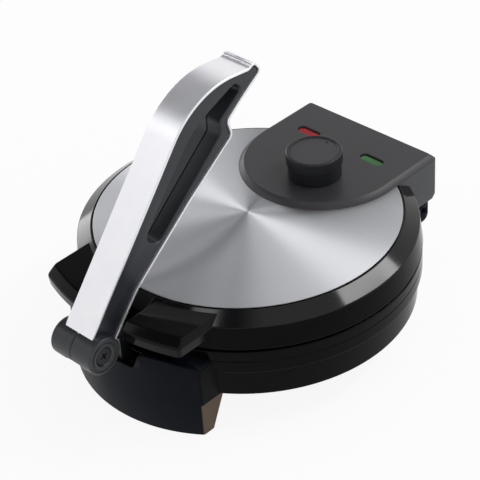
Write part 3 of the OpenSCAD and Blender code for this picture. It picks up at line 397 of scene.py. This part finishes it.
def carve(piece, cutter, how="DIFFERENCE"):
    # Boolean of two closed meshes, kept as plain mesh; the cutter goes
    tool = piece.modifiers.new("carve", "BOOLEAN")
    tool.operation, tool.object, tool.solver = how, cutter, "EXACT"
    bpy.context.view_layer.update()
    dg = bpy.context.evaluated_depsgraph_get()
    made = bpy.data.meshes.new_from_object(piece.evaluated_get(dg))
    piece.modifiers.remove(tool)
    old = piece.data
    piece.data = made
    made.name = piece.name
    bpy.data.meshes.remove(old)
    bpy.data.objects.remove(cutter)
    return piece


# Base tub: a turned profile with the ridge line, the step and a soft lower edge
tub = {"outer": [(121.9, 65.6, 0.9), (121.9, 58.0, 0.25), (121.45, 57.5, 0.3), (121.9, 57.0, 0.25),
                 (121.9, 48.0, 0.8), (119.3, 47.9, 0.3), (118.5, 26.5, 1.2)],
       "inner": [(112.7, 26.5, 0.3), (112.7, 28.2, 0.2), (108.0, 28.2, 0.3), (108.0, 30.4, 0.5), (115.9, 30.4, 1.0),
                 (116.7, 50.2, 0.5), (119.3, 50.8, 0.5), (119.3, 63.2, 1.0), (110.6, 63.2, 1.0), (108.6, 61.2, 0.5),
                 (108.6, 58.6, 0.3), (106.6, 58.6, 0.3), (106.6, 62.6, 1.0), (109.2, 65.0, 1.0), (110.6, 65.6, 1.0)]}


def buildTub():
    corners = np.array(tub["outer"] + tub["inner"])[::-1]
    points, faces = revolved(roundOutline(corners, 8))
    return newPiece("baseTub", points, faces, tubAbs, "base", "gloss_black")


# Lid ring: lower wall, chamfer line, sloping band, lip and groove round the disc
ring = {"profile": [(106.0, 67.4, 0.4), (122.2, 67.4, 0.8), (120.1, 84.65, 1.1), (109.5, 92.05, 0.5),
                    (109.35, 90.4, 0.15), (108.45, 90.4, 0.15), (108.45, 91.6, 0.05), (103.0, 91.6, 0.2),
                    (103.0, 89.0, 0.4), (108.0, 89.0, 0.5), (117.6, 82.6, 1.0), (119.0, 69.6, 0.6),
                    (106.0, 69.6, 0.4)]}
wing = {"front": [(-0.8, 77.0, 0.0), (0.0, 84.2, 3.2), (-5.9, 90.0, 3.0), (-16.0, 90.0, 0.0)], "frontRadius": 177.4,
        "centreBehind": 33.9, "half": 64.0, "slot": 21.0,
        "side": [(77.0, -0.7), (84.0, 0.0), (87.0, -0.9), (90.0, -2.1)],
        "cornerOut": 4.5, "cornerSlot": 1.2, "rearRadius": 107.0, "slotBevelFrom": 89.2, "flatRim": 0.6}


def wingOutline(frontRadius, half, slot, grow):
    # plan of one wing: slot side, front arc about the centre behind, outer side, and a rear arc inside the ring
    c = wing["centreBehind"]
    a0, a1 = math.asin(slot / frontRadius), math.asin(half / frontRadius)
    f = [(frontRadius * math.sin(a), c - frontRadius * math.cos(a)) for a in (a0, a1)]
    rc, rs, rear = max(wing["cornerOut"] - grow, 0.6), wing["cornerSlot"], wing["rearRadius"]
    arcA = a0 + (rs + 0.3) / frontRadius
    arcB = a1 - (rc + 0.3) / frontRadius
    front = [(frontRadius * math.sin(a), c - frontRadius * math.cos(a), 200.0) for a in np.linspace(arcA, arcB, 7)]
    b = np.linspace(math.asin(half / rear), math.asin(slot / rear), 19)
    rear = rear * np.stack([np.sin(b), -np.cos(b)], 1)
    corners = [(*rear[-1], 0.0), (slot, f[0][1], rs), *front, (half, f[1][1], rc), (*rear[0], 0.0)]
    return np.concatenate([roundOutline(np.array(corners), 6, closed=False), rear[1:-1]])


def buildRing():
    # the ring is turned; each wing is stacked from plans that follow its front's profile, with a flat rim on top
    points, faces = revolved(roundOutline(np.array(ring["profile"]), 8))
    pieces = [newPiece("lidRing", points, faces, glossAbs, "lid", "gloss_black")]
    sideZ, sideOut = zip(*wing["side"])
    outlines, heights = [], []
    for inward, z in roundOutline(np.array(wing["front"]), 10, closed=False)[:-1]:
        radius, half = wing["frontRadius"] + inward, wing["half"] + float(np.interp(z, sideZ, sideOut))
        slot = wing["slot"] + max(0.0, z - wing["slotBevelFrom"])
        outlines.append(wingOutline(radius, half, slot, -inward * 0.2))
        heights.append(z)
    rim = wing["flatRim"]
    outlines.append(wingOutline(radius - rim, half - rim, slot + rim, 4 * rim))
    p, f = stacked(outlines, heights + [heights[-1]])
    for name, mirror in (("wingRight", 1), ("wingLeft", -1)):
        pieces.append(newPiece(name, p * [mirror, 1, 1], f, wingAbs, "lid", "gloss_black", sharp=50))
    return pieces


# Steel disc with a softened edge; loops on its top keep the turned shading even
disc = {"profile": [(0.0, 92.43, 0.0), (108.3, 92.43, 0.35), (108.3, 91.63, 0.1), (0.0, 91.63, 0.0)],
        "loops": 14, "firstLoop": 2.0, "lastLoop": 106.0}


def buildDisc():
    outline = roundOutline(np.array(disc["profile"])[::-1], 15, closed=False)
    radii = np.linspace(disc["lastLoop"], disc["firstLoop"], disc["loops"])
    top = np.stack([radii, np.full(len(radii), outline[-1, 1])], 1)
    outline = np.concatenate([outline[:-1], top, outline[-1:]])
    points, faces = revolved(outline, closed=False)
    return newPiece("steelDisc", points, faces, spunSteel, "lid", "brushed_disc")


# Control housing: round front, straight sides, flat chamfer round the top, and a deep rear box whose front follows
# the ring's outer profile and whose rear lower edge is chamfered
house = {"half": 61.5, "centre": 80.3, "rear": 135.0, "top": 96.5, "disc": 92.43, "bevel": 4.0, "corner": 4.0,
         "guard": 0.6, "lensX": (-31.0, 29.3), "lensY": 99.5, "lens": (20.0, 7.0), "lensEdge": 0.5,
         "boxLevels": (60.0, 60.4, 63.0, 67.3, 72.0, 78.0, 84.7, 87.0, 89.5, 92.0, 92.6), "boxEdge": 0.4,
         "boxFront": ((60.0, 122.6), (67.4, 122.6), (84.65, 120.4), (92.05, 109.8)),
         "boxRear": ((60.0, 132.0), (63.0, 135.0))}


def rearCorners(half, rear, q):
    # the two rounded rear corners, right then left
    b = np.radians(np.linspace(0, 90, 9))
    right = np.stack([half - q + q * np.cos(b), rear - q + q * np.sin(b)], 1)
    return right, right[::-1] * [-1, 1]


def housePlan(d):
    # half circle in front, straight sides, rounded rear corners, d inside the outer face
    h, c, rear = house["half"] - d, house["centre"], house["rear"] - d
    a = np.radians(np.linspace(-180, 0, 91))
    front = np.stack([h * np.cos(a), c + h * np.sin(a)], 1)
    q = max(house["corner"] - d * 0.5, 1.2)
    side = np.array([[h, c + house["guard"]], [h, rear - q - house["guard"]]])
    return np.concatenate([front, side, *rearCorners(h, rear, q), side[::-1] * [-1, 1]])


def pill(length, width):
    half = (length - width) / 2
    a = np.radians(np.linspace(-90, 90, 12))
    right = np.stack([half + width / 2 * np.cos(a), width / 2 * np.sin(a)], 1)
    return np.concatenate([right, -right])


def buildHousing():
    h = house
    # a flat chamfer with softened edges between the side and the top
    insets = [0.0, 0.0, 0.1, h["bevel"] - 0.2, h["bevel"] + 0.1, h["bevel"] + 0.6]
    levels = [h["disc"], h["disc"] + 0.07, h["disc"] + 0.22, h["top"] - 0.12, h["top"], h["top"]]
    plans = [housePlan(d) for d in insets]
    points, faces = stacked(plans, levels, capHigh=False)
    n = len(plans[0])
    count = len(points)
    loops = [(np.arange(n) + (len(plans) - 1) * n, plans[-1])]
    parts = [points]
    for x in h["lensX"]:
        # each lamp's recess: a flat guard loop, a softened edge and a wall down to the window
        rows = []
        for grow, drop in ((h["lensEdge"] + 0.5, 0.0), (h["lensEdge"], 0.0), (0.15, 0.15), (0.0, 0.5), (0.0, 2.4)):
            edge = pill(h["lens"][0] + 2 * grow, h["lens"][1] + 2 * grow) + [x, h["lensY"]]
            rows.append(np.concatenate([edge, np.full((len(edge), 1), h["top"] - drop)], 1))
        m = len(rows[0])
        loops.append((np.arange(m) + count, rows[0][:, :2]))
        faces += list(gridFaces(len(rows), m, False, True) + count)
        faces += capFaces([(np.arange(m) + count + (len(rows) - 1) * m, rows[-1][:, :2])])
        parts += rows
        count += len(rows) * m
    faces += capFaces(loops)
    top = newPiece("housingTop", np.concatenate(parts), faces, greyAbs, "lid", "satin_grey", sharp=35)
    zs = h["boxLevels"]
    plans = []
    for z, r, rear in zip(zs, np.interp(zs, *zip(*h["boxFront"])), np.interp(zs, *zip(*h["boxRear"]))):
        w = h["half"] - (h["boxEdge"] if z == zs[0] else 0.0)
        a = np.linspace(math.pi / 2 + math.asin(w / r), math.pi / 2 - math.asin(w / r), 41)
        arc = np.stack([r * np.cos(a), r * np.sin(a)], 1)
        plans.append(np.concatenate([arc, *rearCorners(w, rear, h["corner"])]))
    box = newPiece("housingBox", *stacked(plans, zs), leverAbs, "lid", "satin_grey", sharp=35)
    return [top, box]


# Knob: two skirts, raised rim and recessed top
knob = {"centre": (9.0, 61.0),
        "profile": [(0.0, 114.9, 0.0), (16.9, 114.9, 0.3), (17.5, 116.0, 0.5), (20.3, 116.0, 1.1), (20.3, 106.9, 0.5),
                    (19.3, 106.2, 0.5), (19.3, 96.8, 0.5), (16.5, 96.8, 0.5), (16.5, 110.0, 0.5), (0.0, 110.0, 0.0)]}


def buildKnob():
    outline = roundOutline(np.array(knob["profile"])[::-1], 10, closed=False)
    points, faces = revolved(outline, 144, closed=False, centre=knob["centre"])
    return newPiece("knobBody", points, faces, satinAbs, "knob", "satin_black")


# Lever: a silver wrap round two black halves, with a finger opening through both
lever = {"side": [(-146, 64, 0.5), (-138.7, 73.7, 3), (-116.3, 99.7, 60), (-62.7, 141.6, 100), (-20.2, 170.9, 6),
                  (-23.9, 183.3, 4), (-10.2, 193.4, 30), (10.2, 206.9, 4.2), (3.4, 216.4, 4.5), (-2.6, 213.2, 4),
                  (-51.9, 218.5, 64), (-160.6, 84, 60), (-166, 72.5, 0.5)],
         "grip": [(-93.5, 123.3, 6), (-63.8, 148.4, 60), (-31.2, 175.6, 5), (-31.4, 185.8, 5), (-9.5, 200.6, 3.5),
                  (-15, 207, 4), (-38.4, 197.6, 20), (-57.5, 187.2, 40), (-80.6, 162.1, 60), (-93.2, 146.9, 60),
                  (-106, 130.5, 6)],
         "half": 13.0, "wrap": 1.8, "core": 12.0, "gap": 0.75, "fillet": 1.7,
         "grooves": ((-0.7, 214.35), (1.6, 215.2)), "grooveRadius": 0.65,
         "swing": (-158, -125, -90, -55, -20, 27), "swingRadius": 60.0,
         "hub": (-156.3, 70.9), "hubRadius": 13.5, "hubHalf": 19.0, "hubSeam": 0.15, "bore": 4.05,
         "eye": 11.35, "eyeHalf": 8.6,
         "endFace": ((0.0, 11.2, 0.2), (-0.7, 11.0, 0.15), (-0.7, 9.7, 0.15), (0.0, 9.5, 0.2), (0.0, 7.2, 0.5),
                     (-1.0, 6.4, 0.3), (-5.0, 6.3, 0.2))}


def leverWrap():
    # the strip's section (x, depth) swept round the side outline
    t, half = lever["wrap"], lever["half"]
    section = roundOutline(np.array([(-half, 0, 0.6), (-half, t, 0.3), (half, t, 0.3), (half, 0, 0.6)])[::-1], 22)
    rows = [atX(x, roundOutline(insetCorners(lever["side"], d), 2.5)) for x, d in section]
    return np.concatenate(rows), gridFaces(len(rows), len(rows[0]), True, True)


def swingCutter():
    # the room round the bracket's arm, from the hub's axis outwards
    y, z = lever["hub"]
    r = lever["swingRadius"]
    fan = np.array([[y, z], *[[y + r * math.cos(a), z + r * math.sin(a)] for a in np.radians(lever["swing"])]])
    return barCutter("swingRoom", fan, -lever["eyeHalf"], lever["eyeHalf"])


def leverHalf(s):
    # rows (x, depth): the outer wall under the wrap, then the opening's drafted walls from the side face's fillet
    # down to the groove along the seam; flat caps with a hole close the side face and the seam face
    t, g, c, r, edge = lever["wrap"], lever["gap"], lever["core"], lever["fillet"], 0.6
    outer = [(0.12, t + 0.35), (0.45, t + 0.02), (c - 1.6, t + 0.02), (c - 1.5, t + g), (c - edge, t + g)]
    outer += [(c - edge + edge * math.sin(k), t + g + edge * (1 - math.cos(k)))
              for k in np.radians(np.linspace(15, 90, 6))]
    inner = [(c, -r)]
    inner += [(c - r * (1 - math.cos(k)), -r * (1 - math.sin(k))) for k in np.radians(np.linspace(12, 90, 8))]
    inner += [(5.0, 0.35), (0.7, 0.6), (0.45, 0.3), (0.4, -0.8), (0.12, -0.8)]
    rows = [atX(s * x, roundOutline(insetCorners(lever["side"], d), 2.5)) for x, d in outer]
    holes = [atX(s * x, roundOutline(insetCorners(lever["grip"], d), 4)) for x, d in inner]
    n, m, count = len(rows[0]), len(holes[0]), len(rows) * len(rows[0])
    wallRim, holeRim = np.arange(n), np.arange(m) + count
    faces = list(gridFaces(len(rows), n, False, True)) + list(gridFaces(len(holes), m, False, True) + count)
    faces += capFaces([(wallRim + count - n, rows[-1][:, 1:]), (holeRim, holes[0][:, 1:])])
    faces += capFaces([(wallRim, rows[0][:, 1:]), (holeRim + (len(holes) - 1) * m, holes[-1][:, 1:])])
    return np.concatenate(rows + holes), faces


def hubHalf(s):
    # turned about the axle: outer wall, end face with a ring groove and the cap's recess, bore and eye room
    w, r, e, bore, seam = lever["hubHalf"], lever["hubRadius"], lever["eye"], lever["bore"], lever["hubSeam"]
    face = [(w + deep, q, soft) for deep, q, soft in lever["endFace"]]
    corners = [(seam, r - 0.3, 0.1), (0.6, r, 0.3), (w, r, 1.0), *face, (face[-1][0], bore, 0.1),
               (lever["eyeHalf"], bore, 0.1), (lever["eyeHalf"], e, 0.2), (seam, e, 0.1)]
    return turnedX(roundOutline(np.array(corners)[::-1], 15, guard=0.2), lever["hub"], 128, s)


def buildLever():
    wrap = newPiece("leverWrap", *leverWrap(), silverLacquer, "lever", "silver_wrap", sharp=60)
    carve(wrap, swingCutter())
    for y, z in lever["grooves"]:
        groove = discOutline(y, z, lever["grooveRadius"], 24)
        carve(wrap, barCutter("lipGroove", groove, -lever["half"] - 1, lever["half"] + 1))
    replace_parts(wrap, "lever_strip")
    for s, side in ((-1, "Left"), (1, "Right")):
        core = newPiece("leverCore" + side, *leverHalf(s), leverAbs, "lever", "satin_black", sharp=50)
        carve(core, swingCutter())
        hub = newPiece("hubHalf" + side, *hubHalf(s), leverAbs, "lever", "satin_black", sharp=50)
        carve(hub, swingCutter())
        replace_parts(core, "lever_half_" + side.lower())
        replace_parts(hub, "lever_half_" + side.lower())


# Front leg: a wide arc of panel with rounded ends; its back follows the tub and slants away below it
leg = {"radius": 108.5, "ahead": 28.5, "half": 63.8, "corner": 2.6, "low": 0.8, "high": 62.0, "wall": 2.6,
       "edge": 1.0, "under": 26.5, "backLow": -107.6, "backHigh": -96.0, "tub": 119.45, "tubUnder": 118.65,
       "rim": 122.05, "step": 47.85, "hollowReach": 6.0, "notchFrom": -150.0, "notchTo": -112.0,
       "notch": [(-20, 48, 3), (20, 48, 3), (25, 60, 4), (34, 68, 0), (-34, 68, 0), (-25, 60, 4)],
       "shoulder": [(36, 0.0), (44, 0.7), (50, 1.8), (55, 3.1), (60, 4.5), (62.8, 5.4), (63.8, 6.4)],
       "feet": ((45, -117.3), (-45, -117.3)), "bossRadius": 8.0, "bossLow": 4.0}


def legPlan(d, back=None, tubRadius=None):
    # the front arc d inside the outer face with its rounded ends, closed behind by a line or by the tub's arc
    r, q = leg["radius"] - d, max(leg["corner"] - d, 1.0)
    half = leg["half"] - d
    x = half - q
    y = -leg["ahead"] - math.sqrt((r - q) ** 2 - x * x)
    phi = math.atan2(x, -leg["ahead"] - y)
    a, b = np.linspace(-phi, phi, 61), np.linspace(phi, math.pi / 2, 10)[1:]
    front = np.stack([r * np.sin(a), -leg["ahead"] - r * np.cos(a)], 1)
    right = np.stack([x + q * np.sin(b), y - q * np.cos(b)], 1)
    along = np.linspace(half, -half, 49)
    behind = np.full(49, back) if tubRadius is None else -np.sqrt(tubRadius ** 2 - along ** 2)
    return np.concatenate([front, right, np.stack([along, behind], 1), right[::-1] * [-1, 1]])


def lowerEnds(points):
    # the top falls towards both ends: above the tub's step every height gives way in proportion to its rise
    across, drops = np.array(leg["shoulder"]).T
    rise = np.clip((points[:, 2] - leg["step"]) / (leg["high"] - leg["step"]), 0, 1)
    points[:, 2] -= np.interp(np.abs(points[:, 0]), across, drops) * rise
    return points


def legBack(z, wall=0.0):
    # where the slanted back stands at height z
    return float(np.interp(z, [leg["low"], leg["under"]], [leg["backLow"], leg["backHigh"]])) - wall


def buildLeg():
    g = leg
    plans, heights = [], []
    for d, z in ((0.5, g["low"]), (0.1, g["low"] + 0.25), (0.0, g["low"] + 0.7)):
        plans.append(legPlan(d, legBack(z)))
        heights.append(z)
    plans += [legPlan(0, legBack(g["under"])), legPlan(0, None, g["tubUnder"]), legPlan(0, None, g["tub"]),
              legPlan(0, None, g["rim"])]
    heights += [g["under"], g["under"], g["step"], g["step"]]
    for k in np.radians(np.linspace(0, 90, 7)):
        plans.append(legPlan(g["edge"] * (1 - math.cos(k)), None, g["rim"]))
        heights.append(g["high"] - g["edge"] * (1 - math.sin(k)))
    p, f = stacked(plans, heights)
    panel = newPiece("legPanel", lowerEnds(p), f, legAbs, "base", "satin_navy", sharp=35)
    # the hollow is open below; under the tub it has the slanted back, above that it reaches in behind the wall
    w, inTub = g["wall"], g["tub"] - g["hollowReach"]
    roof = g["under"] - w
    rows = [(-1.0, legBack(g["low"], w + 0.6), None), (roof, legBack(roof, w + 0.6), None), (roof, None, g["tub"]),
            (g["under"], None, g["tub"]), (g["under"], None, inTub), (g["high"] - w, None, inTub)]
    p, f = stacked([legPlan(w, back, tub) for _, back, tub in rows], [z for z, _, _ in rows])
    carve(panel, newPiece("legHollow", lowerEnds(p), f, navyAbs))
    notch = roundOutline(np.array(g["notch"], float), 8)
    carve(panel, barCutter("legNotch", notch, g["notchFrom"], g["notchTo"], alongY))
    for x, y in g["feet"]:
        boss = discOutline(x, y, g["bossRadius"])
        carve(panel, barCutter("footBoss", boss, g["bossLow"], roof + 0.5, alongZ), "UNION")
    return panel


# Hinge block behind the tub, with its two barrel slots and the pins' bores
block = {"half": 57.0,
         "outline": [(100, 40, 0.3), (130.5, 40, 6), (130.5, 55, 1.2), (129, 56.5, 0.8), (100, 56.5, 0.3)],
         "edge": 0.9, "barrel": 40.0, "slotHalf": 8.0, "slotFront": 117.3, "slotFloor": 42.8, "axis": (124.5, 49.5),
         "bore": 3.05, "boreEnds": (27, 70), "tab": (100, 119.8, 39, 48), "tabHalf": 31.65, "screwX": 22.0,
         "screwZ": 44.5, "recess": 3.4, "recessFloor": 127.5, "above": 70.0, "behind": 140.0}


def buildBlock():
    # the block sits against the tub with the same clearance as the leg; above and behind are the cutters' far ends
    g = block
    p, f = prismX(g["outline"], g["half"], g["edge"])
    body = newPiece("hingeBlock", p, f, navyAbs, "base", "satin_navy", sharp=35)
    tubShape = np.array([(0, g["above"]), (leg["rim"], g["above"]), (leg["rim"], leg["step"]),
                         (leg["tub"], leg["step"]), (leg["tubUnder"], leg["under"]), (0, leg["under"])])
    carve(body, newPiece("tubRoom", *revolved(tubShape, closed=False), navyAbs))
    carve(body, barCutter("tabRoom", boxOutline(*g["tab"]), -g["tabHalf"], g["tabHalf"]))
    slot = boxOutline(g["slotFront"], g["behind"], g["slotFloor"], g["above"])
    for s in (-1, 1):
        carve(body, barCutter("barrelSlot", slot, s * g["barrel"] - g["slotHalf"], s * g["barrel"] + g["slotHalf"]))
        carve(body, barCutter("pinBore", discOutline(*g["axis"], g["bore"]), *sorted(s * x for x in g["boreEnds"])))
        recess = discOutline(s * g["screwX"], g["screwZ"], g["recess"], 32)
        carve(body, barCutter("screwRecess", recess, g["recessFloor"], g["behind"], alongY))
    return body


# Lever bracket: a turned eye, an arm and a foot plate with softened edges
bracket = {"eye": 11.0, "eyeHalf": 8.0, "bore": 4.05, "edge": 0.6, "plateHalf": 16.0,
           "arm": [(-156.3, 67.7, 1.3), (-134, 67.7, 3), (-134, 30.5, 1.3), (-125.5, 30.5, 1.3), (-125.5, 74.1, 5),
                   (-156.3, 74.1, 1.3)],
           "plate": [(-129.5, 30.5, 0.8), (-125.5, 30.5, 0.4), (-125.5, 45.5, 0.4), (-129.5, 45.5, 0.8)]}


def buildBracket():
    # the arm stops just inside the eye's ends; its rounds leave no room for guard points
    g = bracket
    half, edge = g["eyeHalf"], g["edge"]
    arm = prismX(g["arm"], half - 0.02, edge, guard=0.0)
    section = np.array([(-half, g["bore"], 0.2), (half, g["bore"], 0.2), (half, g["eye"], edge),
                        (-half, g["eye"], edge)])
    eye = turnedX(roundOutline(section, 20), lever["hub"], 96)
    plate = prismX(g["plate"], g["plateHalf"], edge, guard=0.0)
    pieces = [newPiece(name, *shape, bracketPaint, "base", "black_steel", sharp=35)
              for name, shape in (("bracketArm", arm), ("bracketEye", eye), ("bracketPlate", plate))]
    carve(pieces[0], barCutter("eyeRoom", discOutline(*lever["hub"], g["eye"] - 0.4, 96), -half - 4, half + 4))
    return pieces


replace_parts(buildTub(), "base_shell")
print("tub built")
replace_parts(buildLeg(), "front_leg")
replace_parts(buildBlock(), "hinge_block")
for made in buildBracket():
    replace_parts(made, "lever_bracket")
print("leg, block and bracket built")
for made in buildRing():
    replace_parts(made, "lid_ring")
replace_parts(buildDisc(), "top_disc")
print("lid built")
for made in buildHousing():
    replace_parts(made, "control_housing")
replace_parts(buildKnob(), "control_knob")
print("housing and knob built")
buildLever()
print("lever built")


# Stage: a pale floor, white to the camera and in reflections with a faint shadow, and plain soft light
def seenRays(tree):
    # 1 for rays from the camera, off a gloss or through a clear piece
    path = addNode(tree, "ShaderNodeLightPath")
    seen = addNode(tree, "ShaderNodeMath", {"operation": "MAXIMUM"}, {
        0: path.outputs["Is Camera Ray"], 1: path.outputs["Is Glossy Ray"]})
    seen = addNode(tree, "ShaderNodeMath", {"operation": "MAXIMUM"}, {
        0: seen.outputs[0], 1: path.outputs["Is Transmission Ray"]})
    return seen.outputs[0]


floorHalf = 6000.0


def buildStage():
    r = floorHalf
    points = np.array([(-r, -r, 0), (r, -r, 0), (r, r, 0), (-r, r, 0)]) - plateAxis
    mesh = bpy.data.meshes.new("floor")
    mesh.from_pydata(place(points).tolist(), [], [(0, 1, 2, 3)])
    material, tree, shader = newMaterial("paleFloor", {"Base Color": linear("#ececec"), "Roughness": 0.9})
    glow = addNode(tree, "ShaderNodeEmission", None, {"Color": (1, 1, 1, 1), "Strength": 1.0})
    share = addNode(tree, "ShaderNodeMath", {"operation": "MULTIPLY"}, {0: seenRays(tree), 1: 0.9})
    both = addNode(tree, "ShaderNodeMixShader", None, {0: share.outputs[0], 1: shader.outputs[0], 2: glow.outputs[0]})
    tree.links.new(both.outputs[0], tree.nodes["Material Output"].inputs["Surface"])
    mesh.materials.append(material)
    floor = bpy.data.objects.new("floor", mesh)
    bpy.context.scene.collection.objects.link(floor)
    world = bpy.data.worlds.new("studio")
    world.use_nodes = True
    bpy.context.scene.world = world
    tree = world.node_tree
    tree.nodes.clear()
    # white round the horizon and up the wall behind on the right, dim overhead and above the camera
    direction = addNode(tree, "ShaderNodeTexCoord").outputs["Generated"]
    towards = addNode(tree, "ShaderNodeSeparateXYZ", None, {0: direction})
    behind = addNode(tree, "ShaderNodeVectorMath", {"operation": "DOT_PRODUCT"}, {0: direction, 1: (0.72, 0.69, 0)})
    wall = addNode(tree, "ShaderNodeMapRange", {"interpolation_type": "SMOOTHSTEP"}, {
        "Value": behind.outputs["Value"], "From Min": -0.14, "From Max": 0.1})
    rim = addNode(tree, "ShaderNodeMapRange", {"interpolation_type": "SMOOTHSTEP"}, {
        "Value": towards.outputs["Z"], "From Min": 0.66, "From Max": 0.4})
    lit = addNode(tree, "ShaderNodeMath", {"operation": "MAXIMUM"}, {0: wall.outputs[0], 1: rim.outputs[0]})
    dim = addNode(tree, "ShaderNodeBackground", None, {"Color": linear("#55565a"), "Strength": 1.0})
    white = addNode(tree, "ShaderNodeBackground", None, {"Color": (1, 1, 1, 1), "Strength": 1.0})
    mix = addNode(tree, "ShaderNodeMixShader", None, {0: lit.outputs[0], 1: dim.outputs[0], 2: white.outputs[0]})
    addNode(tree, "ShaderNodeOutputWorld", None, {"Surface": mix.outputs[0]})


# soft boxes: a long one high behind on the right, a low one on the left, a wide faint one in front and a small one
# overhead for the short glints along the edges
lamps = {"back": {"at": (900, 1240, 1680), "size": (1250, 260), "along": (-0.16, 0.45, -0.26), "glow": 13.0},
         "left": {"at": (-1950, 340, 370), "size": (850, 500), "along": (0, 1, 0), "glow": 4.0},
         "front": {"at": (-1075, -1153, 1320), "size": (900, 450), "along": (1, -1, 0), "glow": 1.8},
         "top": {"at": (-71, -810, 1917), "size": (350, 350), "along": (1, 0, 0), "glow": 4.5}}
lampTarget = (0, 0, 90)


def buildLamps():
    # each soft box looks at the lid's middle; its power comes from the brightness of its face
    for name, lamp in lamps.items():
        data = bpy.data.lights.new(name, "AREA")
        data.shape = "RECTANGLE"
        data.size, data.size_y = lamp["size"][0] / 1000, lamp["size"][1] / 1000
        data.energy = lamp["glow"] * math.pi * data.size * data.size_y
        holder = bpy.data.objects.new(name, data)
        bpy.context.scene.collection.objects.link(holder)
        at = Vector(place(lamp["at"]))
        back = (at - Vector(place(lampTarget))).normalized()
        up = back.cross(Vector(lamp["along"])).normalized()
        holder.matrix_world = Matrix.Translation(at) @ Matrix((up.cross(back), up, back)).transposed().to_4x4()


buildStage()
buildLamps()
print("stage built")
